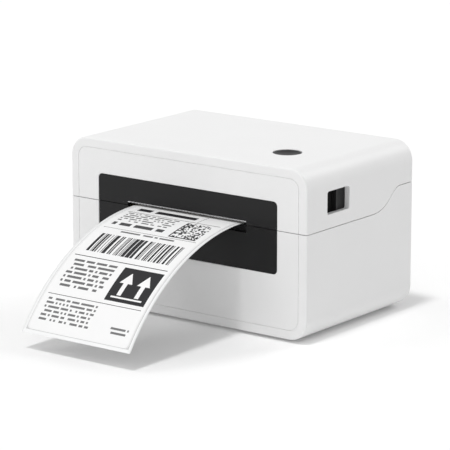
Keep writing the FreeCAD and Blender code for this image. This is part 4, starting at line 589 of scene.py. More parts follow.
@dataclass(frozen=True)
class Metal:
    """A metal with drawn or ground lines along one direction, fine tarnish, bright worn edges and painted
    shade in its hollows.

    Attributes:
        name: the material's name.
        colour: its colour.
        along: the direction of its lines.
        rough: the middle of its roughness.
        lines: lines in a metre.
        relief: the lines' depth.
        shade_in_gaps: how much painted shade darkens its hollows.
        tarnish: patches of tarnish in a metre.
        dull: the share of the colour that tarnish leaves.
        bright: how much brighter the worn edges are.
        edge: the width of the worn edges.
        swing: the share by which the lines change the roughness.
        hollow: how wide a hollow still counts as one.
        mouth: the open share at which a hollow stops being dark.
        strength: how much of the relief shows.
    """

    name: str
    colour: Colour
    along: Along = Along.NONE
    rough: float = 0.32
    lines: float = 2600.0
    relief: float = 10.0 * MICRON
    shade_in_gaps: float = 0.0
    tarnish: float = 140.0
    dull: float = 0.86
    bright: float = 1.18
    edge: float = 0.3 * MM
    swing: float = 0.25
    hollow: float = 6.0 * MM
    mouth: float = 0.6
    strength: float = 0.4

    def build(self, effects: Effects) -> Material:
        """Makes the material.

        Args:
            effects: the shared effects.

        Returns:
            The material.
        """
        made, graph, shader = material(self.name)
        place = graph.place()
        tarnish = graph.use(effects.mottle, Vector=place, Scale=self.tarnish).outputs[0]
        colour = graph.mix(tarnish, opaque(self.colour, self.dull), opaque(self.colour))
        edge_wear_and_highlight = graph.use(effects.edge_wear_and_highlight, Vector=place, Radius=self.edge).outputs[0]
        colour = graph.mix(edge_wear_and_highlight, colour, opaque(self.colour, self.bright))
        # Painted shade: the hollows darkened where little of the surroundings is open.
        if self.shade_in_gaps:
            closed = graph.use(effects.shade_in_gaps, Reach=self.hollow, Open=self.mouth).outputs[0]
            colour = graph.mix(closed, colour, opaque(self.colour, 1.0 - self.shade_in_gaps))
        graph.put(shader.inputs["Base Color"], colour)
        grain = graph.use(effects.grain, Vector=graph.place(self.along.value), Scale=self.lines)
        lines = grain.outputs["Height"]
        low, high = self.rough * (1.0 - self.swing), self.rough * (1.0 + self.swing)
        graph.put(shader.inputs["Roughness"], graph.spread(lines, low, high, *effects.NOISE))
        graph.relief(shader, lines, self.relief, self.strength)
        graph.put(shader.inputs["Metallic"], 1.0)
        return made


@dataclass(frozen=True)
class Rectangle:
    """A rectangle on a flat sheet, between two edges each way, in the units of the coordinates.

    Attributes:
        left: its left edge.
        right: its right edge.
        low: its lower edge.
        high: its upper edge.
    """

    left: float
    right: float
    low: float
    high: float

    def mask(self, graph: Graph, effects: Effects, flat: Socket) -> Socket:
        """Marks the rectangle.

        Args:
            graph: the material's graph.
            effects: the shared effects.
            flat: the flat coordinates.

        Returns:
            The mask, 1 inside and 0 outside.
        """
        middle = ((self.left + self.right) / 2, (self.low + self.high) / 2, 0.0)
        half = ((self.right - self.left) / 2, (self.high - self.low) / 2, 0.0)
        return graph.use(effects.block, Vector=flat, Middle=middle, Half=half).outputs[0]


@dataclass(frozen=True)
class Cells:
    """A field of printed or etched cells.

    Attributes:
        width: the width of a cell, in the units of the coordinates.
        height: its height.
        seed: which draw of inked cells it takes.
        bare: the chance that a cell stays bare.
        gap: the share of a cell's height that stays bare.
    """

    width: float
    height: float
    seed: float
    bare: float
    gap: float = 0.0

    def mask(self, graph: Graph, effects: Effects, flat: Socket) -> Socket:
        """Marks the inked cells.

        Args:
            graph: the material's graph.
            effects: the shared effects.
            flat: the flat coordinates.

        Returns:
            The mask, 1 on ink and 0 elsewhere.
        """
        cell = (self.width, self.height, 1.0)
        made = graph.use(effects.rows, Vector=flat, Cell=cell, Seed=self.seed, Bare=self.bare, Gap=self.gap)
        return made.outputs[0]


@dataclass(frozen=True)
class Board:
    """A coated circuit board: tracks under a green coat, bare tinned pads and a glossy, slightly wavy skin.

    Attributes:
        name: the material's name.
        coat: the colour of the coat over bare board.
        track: its colour over copper.
        pad: the colour of tinned pads.
        tin: how metallic the pads are.
        runs: the tracks across the board.
        rises: the tracks along it.
        shift: how far the tracks along it stand off the others.
        pads: the pads.
        waves: waves of the skin in a metre.
        gloss: the lowest and highest roughness of the skin.
        relief: how far tracks and pads stand up.
        strength: how much of the relief shows.
    """

    name: str
    coat: Colour = (0.012, 0.12, 0.055)
    track: Colour = (0.03, 0.22, 0.10)
    pad: Colour = (0.62, 0.60, 0.55)
    tin: float = 0.9
    runs: Cells = Cells(11.0 * MM, 1.0 / 420.0, seed=3.0, bare=0.45, gap=0.55)
    rises: Cells = Cells(0.6 * MM, 17.0 * MM, seed=9.0, bare=0.82, gap=0.12)
    shift: Point = (4.0 * MM, 3.0 * MM, 0.0)
    pads: Cells = Cells(2.1 * MM, 2.7 * MM, seed=21.0, bare=0.955, gap=0.4)
    waves: float = 160.0
    gloss: tuple[float, float] = (0.22, 0.36)
    relief: float = 40.0 * MICRON
    strength: float = 0.5

    def build(self, effects: Effects) -> Material:
        """Makes the material.

        Args:
            effects: the shared effects.

        Returns:
            The material.
        """
        made, graph, shader = material(self.name)
        place = graph.place()
        runs = self.runs.mask(graph, effects, place)
        rises = self.rises.mask(graph, effects, graph.place(at=self.shift))
        tracks = graph.sum(Sum.LARGER, runs, rises)
        pads = self.pads.mask(graph, effects, place)
        colour = graph.mix(tracks, opaque(self.coat), opaque(self.track))
        graph.put(shader.inputs["Base Color"], graph.mix(pads, colour, opaque(self.pad)))
        graph.put(shader.inputs["Metallic"], graph.sum(Sum.TIMES, pads, self.tin))
        low, high = self.gloss
        wave = graph.use(effects.mottle, Vector=place, Scale=self.waves, Low=low, High=high)
        graph.put(shader.inputs["Roughness"], wave.outputs[0])
        graph.relief(shader, graph.sum(Sum.LARGER, tracks, pads), self.relief, self.strength)
        return made


@dataclass(frozen=True)
class HeadGlaze:
    """The underside of the print head: glazed ceramic, fine gold leads, a dark heating line and a resin bead.

    Attributes:
        name: the material's name.
        line: the heating line.
        bead: the resin bead over the driver chips.
        pitch: leads in a metre.
        glaze: the colour of the glaze.
        heat: the colour of the heating line.
        lead: the colour of the leads.
        resin: the colour of the bead.
        waves: waves of the glaze in a metre.
        gloss: the lowest and highest roughness of the glaze.
        relief: how far line and bead stand up.
        strength: how much of the relief shows.
        wave_turn: the angle that the wave texture turns through in a metre at a scale of 1.
    """

    name: str
    line: Rectangle
    bead: Rectangle
    pitch: float = 1600.0
    glaze: Colour = (0.66, 0.60, 0.48)
    heat: Colour = (0.05, 0.04, 0.035)
    lead: Colour = (0.52, 0.36, 0.14)
    resin: Colour = (0.014, 0.014, 0.015)
    waves: float = 120.0
    gloss: tuple[float, float] = (0.12, 0.24)
    relief: float = 40.0 * MICRON
    strength: float = 0.3
    wave_turn: float = 20.0

    def build(self, effects: Effects) -> Material:
        """Makes the material.

        Args:
            effects: the shared effects.

        Returns:
            The material.
        """
        made, graph, shader = material(self.name)
        place = graph.place()
        leads = graph.node("TexWave", bands_direction="X")
        graph.put(leads.inputs["Vector"], place)
        graph.put(leads.inputs["Scale"], self.pitch * math.tau / self.wave_turn)
        heat = self.line.mask(graph, effects, place)
        bead = self.bead.mask(graph, effects, place)
        colour = graph.mix(leads.outputs["Fac"], opaque(self.glaze), opaque(self.lead))
        colour = graph.mix(heat, colour, opaque(self.heat))
        graph.put(shader.inputs["Base Color"], graph.mix(bead, colour, opaque(self.resin)))
        low, high = self.gloss
        sheen = graph.use(effects.mottle, Vector=place, Scale=self.waves, Low=low, High=high)
        graph.put(shader.inputs["Roughness"], sheen.outputs[0])
        graph.relief(shader, graph.sum(Sum.LARGER, bead, heat), self.relief, self.strength)
        return made


@dataclass(frozen=True)
class Patch:
    """A part of a label's print: a rectangle, solid or filled with inked cells.

    Attributes:
        area: the rectangle, in millimetres from the sheet's lower left corner.
        cells: the cells in it, or None where it is solid.
        ink: how dense the ink is.
    """

    area: Rectangle
    cells: Cells | None = None
    ink: float = 1.0

    def mask(self, graph: Graph, effects: Effects, flat: Socket) -> Socket:
        """Marks the patch.

        Args:
            graph: the label's graph.
            effects: the shared effects.
            flat: the flat coordinates.

        Returns:
            The ink's share, from 0 to 1.
        """
        made = self.area.mask(graph, effects, flat)
        if self.cells:
            made = graph.sum(Sum.TIMES, made, self.cells.mask(graph, effects, flat))
        return graph.sum(Sum.TIMES, made, self.ink)


@dataclass(frozen=True)
class Arrows:
    """A dark square with two upright arrows over a line left bare in it, in millimetres.

    Attributes:
        square: the dark square.
        foot: the line below the arrows.
        middle: the x between the two arrows.
        apart: how far each arrow stands from it.
        stem_half: half the width of a stem.
        stem_low: where a stem starts.
        head_low: where a head starts.
        tip: where it ends.
        taper: how fast a head's half width shrinks with height.
    """

    square: Rectangle = Rectangle(54.0, 90.0, 33.5, 64.5)
    foot: Rectangle = Rectangle(58.0, 86.0, 36.5, 37.9)
    middle: float = 72.0
    apart: float = 8.0
    stem_half: float = 1.9
    stem_low: float = 39.0
    head_low: float = 50.0
    tip: float = 60.0
    taper: float = 0.58

    def mask(self, graph: Graph, effects: Effects, flat: Socket) -> Socket:
        """Marks the square without the arrows: both share one distance from their own middle line, which is
        under a fixed half width on a stem, and on a head under one that shrinks to nothing at its tip.

        Args:
            graph: the label's graph.
            effects: the shared effects.
            flat: the flat coordinates.

        Returns:
            The ink's share, from 0 to 1.
        """
        x, y, _ = graph.split(flat)
        from_middle = graph.sum(Sum.SIZE, graph.sum(Sum.TAKE, x, self.middle))
        side = graph.sum(Sum.SIZE, graph.sum(Sum.TAKE, from_middle, self.apart))
        half_width = graph.sum(Sum.TIMES, graph.sum(Sum.TAKE, self.tip, y), self.taper)
        bare = self.foot.mask(graph, effects, flat)
        stretches = ((self.stem_low, self.head_low, self.stem_half), (self.head_low, self.tip, half_width))
        for low, high, half in stretches:
            height = graph.sum(Sum.WITHIN, y, (low + high) / 2, (high - low) / 2)
            bare = graph.sum(Sum.LARGER, bare, graph.sum(Sum.TIMES, graph.sum(Sum.LESS, side, half), height))
        return graph.sum(Sum.TAKE, self.square.mask(graph, effects, flat), bare)


@dataclass(frozen=True)
class LabelPrint:
    """The print of a shipping label as plain marks: lines of bars, stripes, a square of cells and rules.

    Attributes:
        lines: the lines of bars.
        fields: the stripe field and the square of cells with its two borders.
        rules: the thin lines between the fields.
        arrows: the square with the arrows.
    """

    lines: tuple[Patch, ...] = (
        Patch(Rectangle(6.8, 52.7, 6.8, 27.2), Cells(1.7, 3.4, seed=1.0, bare=0.24, gap=0.5), ink=0.82),
        Patch(Rectangle(70.5, 88.5, 6.8, 13.6), Cells(1.5, 3.4, seed=2.0, bare=0.2, gap=0.5), ink=0.82),
        Patch(Rectangle(7.6, 47.5, 36.0, 64.0), Cells(1.9, 4.0, seed=3.0, bare=0.22, gap=0.48), ink=0.85),
        Patch(Rectangle(22.5, 72.0, 99.2, 102.4), Cells(1.5, 3.2, seed=5.0, bare=0.12, gap=0.45), ink=0.85),
        Patch(Rectangle(6.8, 54.4, 108.0, 114.0), Cells(3.4, 6.0, seed=6.0, bare=0.18, gap=0.3), ink=0.95),
        Patch(Rectangle(6.8, 54.4, 115.5, 132.0), Cells(1.7, 3.3, seed=7.0, bare=0.25, gap=0.5), ink=0.82),
        Patch(Rectangle(8.4, 63.0, 136.0, 144.0), Cells(4.2, 8.0, seed=9.0, bare=0.16, gap=0.3)),
        Patch(Rectangle(7.2, 64.8, 150.0, 190.0), Cells(2.4, 5.0, seed=10.0, bare=0.25, gap=0.5), ink=0.8),
    )
    fields: tuple[Patch, ...] = (
        Patch(Rectangle(8.06, 86.18, 74.0, 96.0), Cells(0.62, 400.0, seed=4.0, bare=0.48)),
        Patch(Rectangle(63.75, 87.5, 107.5, 131.25), Cells(1.25, 1.25, seed=8.0, bare=0.5)),
        Patch(Rectangle(62.5, 63.75, 106.25, 131.25)),
        Patch(Rectangle(62.5, 87.5, 106.25, 107.5)),
    )
    rules: tuple[Patch, ...] = (
        Patch(Rectangle(4.0, 90.0, 30.0, 30.5)),
        Patch(Rectangle(4.0, 90.0, 67.8, 68.5)),
        Patch(Rectangle(4.0, 90.0, 104.2, 104.6)),
        Patch(Rectangle(4.0, 90.0, 133.6, 134.2)),
        Patch(Rectangle(68.0, 68.4, 134.0, 190.0)),
    )
    arrows: Arrows = Arrows()

    def mask(self, graph: Graph, effects: Effects, flat: Socket) -> Socket:
        """Lays all the marks over each other.

        Args:
            graph: the label's graph.
            effects: the shared effects.
            flat: the flat coordinates.

        Returns:
            The ink's share, from 0 to 1.
        """
        ink = self.arrows.mask(graph, effects, flat)
        for patch in self.lines + self.fields + self.rules:
            ink = graph.sum(Sum.LARGER, ink, patch.mask(graph, effects, flat))
        return ink


@dataclass(frozen=True)
class Paper:
    """Coated paper: faint fibre clouds, a slight tooth, and marks on its flat map in millimetres.

    Attributes:
        name: the material's name.
        colour: the paper's colour.
        width: the width of the sheet in millimetres.
        length: its length in millimetres.
        marks: what is printed on it or cut into it.
        ink: the colour of the marks.
        cloud: how much the fibre clouds darken it.
        rough: the middle of its roughness.
        swing: how far the fibres change the roughness.
        clouds: fibre clouds in a metre.
        fibres: fibres in a metre.
        tooth: the depth of the fibres.
        strength: how much of the tooth shows.
        specular: the shader's specular level.
    """

    name: str
    colour: Colour
    width: float
    length: float
    marks: LabelPrint | Patch
    ink: Colour = (0.018, 0.018, 0.02)
    cloud: float = 0.02
    rough: float = 0.5
    swing: float = 0.06
    clouds: float = 60.0
    fibres: float = 3200.0
    tooth: float = 10.0 * MICRON
    strength: float = 0.25
    specular: float = 0.14

    def build(self, effects: Effects) -> Material:
        """Makes the material.

        Args:
            effects: the shared effects.

        Returns:
            The material.
        """
        made, graph, shader = material(self.name)
        place = graph.place()
        cloud = graph.use(effects.mottle, Vector=place, Scale=self.clouds).outputs[0]
        colour = graph.mix(cloud, opaque(self.colour, 1.0 - self.cloud), opaque(self.colour))
        flat = graph.place(scale=(self.width, self.length, 1.0), on_map=True)
        marks = self.marks.mask(graph, effects, flat)
        graph.put(shader.inputs["Base Color"], graph.mix(marks, colour, opaque(self.ink)))
        fibre = graph.use(effects.grain, Vector=place, Scale=self.fibres).outputs["Height"]
        low, high = self.rough - self.swing, self.rough + self.swing
        graph.put(shader.inputs["Roughness"], graph.spread(fibre, low, high, *effects.NOISE))
        graph.relief(shader, fibre, self.tooth, self.strength)
        graph.put(shader.inputs["Specular IOR Level"], self.specular)
        return made


class Assembly:
    """A group of the printer's own solids, each of which wears one finish."""

    title: ClassVar[str] = "assembly"

    def wears(self) -> list[tuple[Finish, list[str]]]:
        """Pairs each finish with the pieces that wear it."""
        return []

    def dress(self, effects: Effects) -> None:
        """Makes each finish and lays it on its pieces.

        Args:
            effects: the shared effects.
        """
        for finish, names in self.wears():
            made = finish.build(effects)
            for name in names:
                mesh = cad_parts[name].data
                mesh.materials.clear()
                mesh.materials.append(made)
                log.info("%s: %s wears %s", self.title, name, made.name)


@dataclass
class Housing(Assembly):
    """The white case, its black front panel, feet, tear strip, hinge and all the screws.

    Attributes:
        case: the two shells' plastic.
        panel: the front panel's plastic.
        feet: the feet's rubber.
        strip: the tear strip's steel.
        pins: the hinge pins' steel.
        screws: the screws' steel.
    """

    title: ClassVar[str] = "housing"
    # The case's paler edges are a painted edge highlight, and its darker seams and grooves are painted shade.
    case: Plastic = Plastic(
        "white_case_plastic", (0.83, 0.83, 0.83), rough=0.38, drift=0.008, pitch=1500.0, relief=12.0 * MICRON,
        specular=0.4, rubbed_and_highlit=0.1, shade_in_gaps=0.6)
    panel: Plastic = Plastic(
        "front_panel_plastic", (0.011, 0.011, 0.0115), rough=0.32, drift=0.05, pitch=2600.0,
        relief=4.0 * MICRON, specular=0.2)
    feet: Plastic = Plastic(
        "foot_rubber_skin", (0.02, 0.02, 0.02), rough=0.85, drift=0.06, pitch=1100.0, relief=60.0 * MICRON,
        specular=0.3)
    strip: Metal = Metal("tear_strip_steel", (0.32, 0.32, 0.325), Along.X, rough=0.42)
    pins: Metal = Metal("hinge_pin_steel", (0.5, 0.5, 0.51), Along.X, rough=0.24)
    screws: Metal = Metal("zinc_screw_steel", (0.56, 0.56, 0.55), rough=0.3)

    def wears(self) -> list[tuple[Finish, list[str]]]:
        """Pairs each finish with the pieces that wear it.

        Returns:
            The finishes with their pieces.
        """
        holders = ("case", "frame", "button", "board", "bracket", "motor")
        corners = ("front_left", "front_right", "rear_left", "rear_right")
        return [
            (self.case, ["base_shell", "top_cover"]),
            (self.panel, ["lower_bezel", "upper_bezel"]),
            (self.feet, [f"foot_{corner}" for corner in corners]),
            (self.strip, ["tear_bar"]),
            (self.pins, ["hinge_pins"]),
            (self.screws, [f"{holder}_screws" for holder in holders] + ["guide_screw"]),
        ]


@dataclass
class LidMechanism(Assembly):
    """The slide latches, the lid's inner frame, the feed button and the springs in the lid.

    Attributes:
        latch: the latches' plastic.
        pocket: the plastic of the pockets in which they run.
        inner_frame: the inner frame's plastic.
        button: the feed button's plastic.
        switch: the plastic of the switch under it.
        board: the switch's board.
        springs: the springs' steel.
    """

    title: ClassVar[str] = "lid mechanism"
    latch: Plastic = Plastic(
        "latch_plastic", (0.012, 0.012, 0.0125), rough=0.5, drift=0.06, pitch=1300.0, specular=0.26,
        rubbed_and_highlit=0.02)
    pocket: Plastic = Plastic(
        "latch_pocket_plastic", (0.009, 0.009, 0.009), rough=0.6, drift=0.06, pitch=1300.0,
        relief=30.0 * MICRON, specular=0.2)
    inner_frame: Plastic = Plastic(
        "inner_frame_plastic", (0.02, 0.02, 0.021), rough=0.55, drift=0.06, pitch=1200.0,
        relief=30.0 * MICRON, specular=0.4, rubbed_and_highlit=0.02)
    button: Plastic = Plastic(
        "button_plastic", (0.009, 0.009, 0.0095), rough=0.4, pitch=2200.0, relief=8.0 * MICRON, specular=0.07)
    switch: Plastic = Plastic(
        "switch_plastic", (0.018, 0.018, 0.019), rough=0.42, drift=0.05, pitch=2400.0, relief=12.0 * MICRON)
    board: Board = Board("button_board_coat")
    springs: Metal = Metal("spring_steel", (0.48, 0.48, 0.5), Along.Z, rough=0.26)

    def wears(self) -> list[tuple[Finish, list[str]]]:
        """Pairs each finish with the pieces that wear it.

        Returns:
            The finishes with their pieces.
        """
        sides = ("left", "right")
        return [
            (self.latch, [f"latch_{side}" for side in sides]),
            (self.pocket, [f"latch_housing_{side}" for side in sides]),
            (self.inner_frame, ["cover_frame"]),
            (self.button, ["feed_button"]),
            (self.switch, ["button_switch", "switch_plunger"]),
            (self.board, ["button_board"]),
            (self.springs, [f"{held}_spring_{side}" for held in ("latch", "head") for side in sides]),
        ]


@dataclass
class PrintHead(Assembly):
    """The heated head and the finned carrier on which it floats.

    Attributes:
        half_length: half the length of the heating line and of the resin bead.
        half_line: half the width of the heating line.
        bead_off_line: how far the bead stays off the line.
        bead_off_edge: how far it stays off the head's rear edge.
        sink: the carrier's aluminium.
        pivot: the pivot's steel.
    """

    title: ClassVar[str] = "print head"
    half_length: float = 54.0 * MM
    half_line: float = 0.5 * MM
    bead_off_line: float = 4.0 * MM
    bead_off_edge: float = 1.5 * MM
    sink: Metal = Metal("extruded_aluminium", (0.68, 0.69, 0.7), Along.X, rough=0.38, lines=1800.0)
    pivot: Metal = Metal("pivot_steel", (0.52, 0.52, 0.53), Along.X, rough=0.22)

    def glaze(self) -> HeadGlaze:
        """Lays the heating line over the middle of the platen, and the bead between it and the rear edge.

        Returns:
            The head's finish.
        """
        low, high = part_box("platen_rubber")
        line = (low.y + high.y) / 2
        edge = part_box("print_head")[1].y
        ends = (-self.half_length, self.half_length)
        return HeadGlaze(
            "head_glaze",
            line=Rectangle(*ends, line - self.half_line, line + self.half_line),
            bead=Rectangle(*ends, line + self.bead_off_line, edge - self.bead_off_edge))

    def wears(self) -> list[tuple[Finish, list[str]]]:
        """Pairs each finish with the pieces that wear it."""
        return [(self.glaze(), ["print_head"]), (self.sink, ["head_sink"]), (self.pivot, ["head_pivot"])]


@dataclass
class LabelFeed(Assembly):
    """The platen, its drive, the deck and the label guides.

    Attributes:
        rubber: the platen's rubber.
        shafts: the steel of shafts and pins.
        clips: the clips' steel.
        bushes: the bushes' bronze.
        plates: the side plates' steel.
        motor: the motor's can.
        gears: the gears' plastic.
        deck: the deck's plastic.
        guides: the guides' plastic.
        sensor: the sensor's dark window.
    """

    title: ClassVar[str] = "label feed"
    rubber: Plastic = Plastic(
        "ground_platen_rubber", (0.022, 0.022, 0.023), rough=0.75, drift=0.06, pitch=2600.0,
        relief=30.0 * MICRON, specular=0.3)
    shafts: Metal = Metal("shaft_steel", (0.56, 0.56, 0.57), Along.X, rough=0.2)
    clips: Metal = Metal("clip_steel", (0.36, 0.36, 0.38), rough=0.34)
    bushes: Metal = Metal("bush_bronze", (0.6, 0.42, 0.2), rough=0.42, lines=1500.0, relief=30.0 * MICRON)
    plates: Metal = Metal("plate_steel", (0.55, 0.56, 0.57), Along.Z, rough=0.36, lines=1500.0)
    motor: Metal = Metal("motor_can_steel", (0.42, 0.42, 0.43), Along.X, rough=0.3, lines=3000.0)
    gears: Plastic = Plastic(
        "gear_acetal", (0.76, 0.75, 0.71), rough=0.36, drift=0.02, pitch=1800.0, relief=12.0 * MICRON,
        sheer=0.15)
    deck: Plastic = Plastic(
        "deck_plastic", (0.022, 0.022, 0.023), rough=0.55, drift=0.06, pitch=1200.0, relief=30.0 * MICRON,
        specular=0.4, rubbed_and_highlit=0.02)
    guides: Plastic = Plastic(
        "guide_plastic", (0.16, 0.165, 0.17), rough=0.46, pitch=1400.0, specular=0.45, rubbed_and_highlit=0.03)
    sensor: Plastic = Plastic(
        "sensor_window", (0.012, 0.010, 0.014), rough=0.16, drift=0.05, pitch=2600.0, relief=4.0 * MICRON)

    def wears(self) -> list[tuple[Finish, list[str]]]:
        """Pairs each finish with the pieces that wear it.

        Returns:
            The finishes with their pieces.
        """
        return [
            (self.rubber, ["platen_rubber"]),
            (self.shafts, ["platen_shaft", "motor_shaft", "idler_pin"]),
            (self.clips, ["shaft_clip", "idler_clip"]),
            (self.bushes, ["platen_bushes"]),
            (self.plates, ["gear_plate", "bearing_plate"]),
            (self.motor, ["drive_motor"]),
            (self.gears, ["platen_gear", "idler_gear", "motor_pinion", "guide_pinion"]),
            (self.deck, ["media_deck"]),
            (self.guides, ["guide_left", "guide_right"]),
            (self.sensor, ["gap_sensor"]),
        ]


@dataclass
class Electrics(Assembly):
    """The main board with its sockets, and the mains switch.

    Attributes:
        mark_off_middle: how far each mark on the rocker stands from its middle, as a share of its width.
        board: the main board.
        jack: the power socket's plastic.
        shell: the data socket's metal.
        switch: the plastic of the switch's body.
        rocker: the plastic of its rocker, with marks still to be placed.
    """

    title: ClassVar[str] = "electrics"
    mark_off_middle: float = 0.27
    board: Board = Board("main_board_coat")
    jack: Plastic = Plastic(
        "socket_plastic", (0.018, 0.018, 0.018), rough=0.4, drift=0.05, pitch=2000.0, relief=12.0 * MICRON)
    # The socket shell's darker hollow is painted shade.
    shell: Metal = Metal("socket_shell", (0.5, 0.5, 0.49), Along.Y, rough=0.28, shade_in_gaps=0.9)
    switch: Plastic = Plastic(
        "mains_switch_plastic", (0.02, 0.02, 0.021), rough=0.36, drift=0.05, pitch=2000.0,
        relief=12.0 * MICRON, specular=0.45, rubbed_and_highlit=0.015)
    rocker: MarkedPlastic = MarkedPlastic(
        "switch_rocker_plastic", (0.02, 0.02, 0.021), rough=0.36, drift=0.05, pitch=2000.0,
        relief=12.0 * MICRON, specular=0.45, rubbed_and_highlit=0.015)

    def marked_rocker(self) -> MarkedPlastic:
        """Places a mark on each half of the rocker.

        Returns:
            The rocker's finish.
        """
        low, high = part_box("switch_rocker")
        middle = (low + high) / 2
        aside = (high.x - low.x) * self.mark_off_middle
        return replace(self.rocker, bar_x=middle.x + aside, ring_x=middle.x - aside, level=middle.z)

    def wears(self) -> list[tuple[Finish, list[str]]]:
        """Pairs each finish with the pieces that wear it.

        Returns:
            The finishes with their pieces.
        """
        return [
            (self.board, ["main_board"]),
            (self.jack, ["power_socket"]),
            (self.shell, ["usb_socket"]),
            (self.switch, ["switch_body"]),
            (self.marked_rocker(), ["switch_rocker"]),
        ]


def grid_mesh(name: str, points: np.ndarray) -> bpy.types.Mesh:
    """A mesh from points on a grid: each cell of four neighbours is one face.

    Args:
        name: the mesh's name.
        points: the points, by row and column.

    Returns:
        The mesh.
    """
    rows, columns = points.shape[:2]
    first = (np.arange(rows - 1)[:, None] * columns + np.arange(columns - 1)[None, :]).ravel()
    faces = np.stack([first + columns, first + columns + 1, first + 1, first], axis=1)
    mesh = bpy.data.meshes.new(name)
    mesh.from_pydata(points.reshape(-1, 3), [], faces)
    return mesh


def show(name: str, data: bpy.types.ID) -> bpy.types.Object:
    """Puts a mesh, lamp or camera into the scene.

    Args:
        name: the object's name.
        data: what it shows.

    Returns:
        The object.
    """
    made = bpy.data.objects.new(name, data)
    bpy.context.scene.collection.objects.link(made)
    return made


@dataclass
class LabelStrip:
    """The label on its liner, out of the slot and down in one even curl.

    Attributes:
        liner_width: the width of the liner.
        label_width: the width of the label on it.
        tail: the y of the strip's end inside the printer.
        bend: the y at which the curl starts.
        level: the height of the liner's face inside the printer.
        curl: the radius of the curl.
        sweep: the angle of the curl.
        paper: the thickness of one paper.
        lift: the gap between liner and label.
        short: how much shorter the label is at each end.
        corner: the radius of the label's cut corners.
        liner_corner: the radius of the liner's corners.
        die_cut_shadow_line: how far inside the liner's edge the grey band starts, a cut line with a painted
            shadow of the label's edge.
        die_cut_shadow_ink: how dense that band is.
        corner_rows: rows of points round a corner.
        rows: rows of points between the corners.
        columns: points across.
    """

    liner_width: float = 100.0 * MM
    label_width: float = 94.0 * MM
    tail: float = 48.98 * MM
    bend: float = -1.12 * MM
    level: float = 82.3 * MM
    curl: float = 160.0 * MM
    sweep: float = math.radians(55.5)
    paper: float = 0.12 * MM
    lift: float = 0.02 * MM
    short: float = 3.0 * MM
    corner: float = 3.0 * MM
    liner_corner: float = 0.4 * MM
    die_cut_shadow_line: float = 2.55 * MM
    die_cut_shadow_ink: float = 0.7
    corner_rows: int = 8
    rows: int = 160
    columns: int = 41

    @property
    def length(self) -> float:
        """The flat length of the liner: its straight run and its arc."""
        return self.tail - self.bend + self.curl * self.sweep

    def surface(self, along: np.ndarray, across: np.ndarray, rise: float) -> np.ndarray:
        """Points of the strip: a straight run to the bend, then an arc about the axis one radius below it, so
        y and z are the sine and cosine of the arc's angle; a layer above the liner has a radius larger by its
        rise.

        Args:
            along: the distance from the inner end, on a grid.
            across: the distance from the middle line, on the same grid.
            rise: the height above the liner's face.

        Returns:
            The points, on the grid.
        """
        straight = self.tail - self.bend
        angle = np.clip(along - straight, 0.0, None) / self.curl
        radius = self.curl + rise
        y = self.tail - np.clip(along, None, straight) - radius * np.sin(angle)
        z = self.level - self.curl + radius * np.cos(angle)
        return np.stack([across, y, z], axis=-1)

    def sheet_mesh(
        self, name: str, width: float, inset: float, corner: float, rise: float
    ) -> bpy.types.Object:
        """A paper as a grid of two parameters with its corners rounded: near an end the half width shrinks by
        the corner's circle, and rows stand closer there. Its flat map runs from 0 to 1 each way.

        Args:
            name: the piece's name.
            width: the paper's width.
            inset: how far inside the liner's ends it starts and ends.
            corner: the radius of its corners.
            rise: the height of its upper face above the liner's.

        Returns:
            The paper.
        """
        long = self.length - 2 * inset
        turn = np.linspace(0.0, math.pi / 2, self.corner_rows + 1)[:-1]
        edge = corner * (1.0 - np.cos(turn))
        middle = np.linspace(corner, long - corner, self.rows)
        rows = np.concatenate([edge, middle, long - edge[::-1]])
        near = np.minimum(np.minimum(rows, long - rows), corner)
        round_off = corner - np.sqrt(np.clip(corner**2 - (corner - near) ** 2, 0.0, None))
        share = np.linspace(-1.0, 1.0, self.columns)
        across = (width / 2 - round_off)[:, None] * share[None, :]
        along = np.repeat(rows[:, None], share.size, axis=1)
        mesh = grid_mesh(name, self.surface(along + inset, across, rise))
        flat = np.stack([across / width + 0.5, 1.0 - along / long], axis=-1).reshape(-1, 2)
        corners = np.empty(len(mesh.loops), dtype=np.int32)
        mesh.loops.foreach_get("vertex_index", corners)
        chart = mesh.uv_layers.new(name="flat_sheet")
        chart.data.foreach_set("uv", flat[corners].astype(np.float32).ravel())
        mesh.polygons.foreach_set("use_smooth", np.ones(len(mesh.polygons), dtype=bool))
        piece = show(name, mesh)
        wall = piece.modifiers.new("paper_thickness", "SOLIDIFY")
        wall.thickness = self.paper
        wall.offset = -1.0
        return piece

    def papers(self) -> tuple[Paper, Paper]:
        """The finishes of liner and label, with a grey band on the liner just outside the label: the cut
        round the label and a painted shadow of its edge.

        Returns:
            The liner's finish and the label's.
        """
        width, length = self.liner_width / MM, self.length / MM
        edge = self.die_cut_shadow_line / MM
        cut_and_shadow_band = Rectangle(edge, width - edge, edge, length - edge)
        # The grey band next to the label's edge is its cut line with a painted shadow of that edge.
        liner = Paper(
            "liner_glassine", (0.9, 0.905, 0.905), width, length, Patch(cut_and_shadow_band, ink=self.die_cut_shadow_ink),
            ink=(0.5, 0.5, 0.5), cloud=0.03, rough=0.36)
        label = Paper(
            "label_face", (0.9, 0.9, 0.9), self.label_width / MM, length - 2 * self.short / MM, LabelPrint(),
            cloud=0.012)
        return liner, label

    def build(self, effects: Effects) -> None:
        """Args:
            effects: the shared effects.
        """
        liner = self.sheet_mesh("liner_sheet", self.liner_width, 0.0, self.liner_corner, 0.0)
        rise = self.lift + self.paper
        label = self.sheet_mesh("label_sheet", self.label_width, self.short, self.corner, rise)
        stands_for = (("label_liner", Slot.LINER), ("printed_label", Slot.LABEL))
        for piece, finish, (node, slot) in zip((liner, label), self.papers(), stands_for):
            piece.data.materials.append(finish.build(effects))
            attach(piece, Body.BASE.value)
            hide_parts(node)
            log.info("label strip: %s stands for %s", piece.name, node)


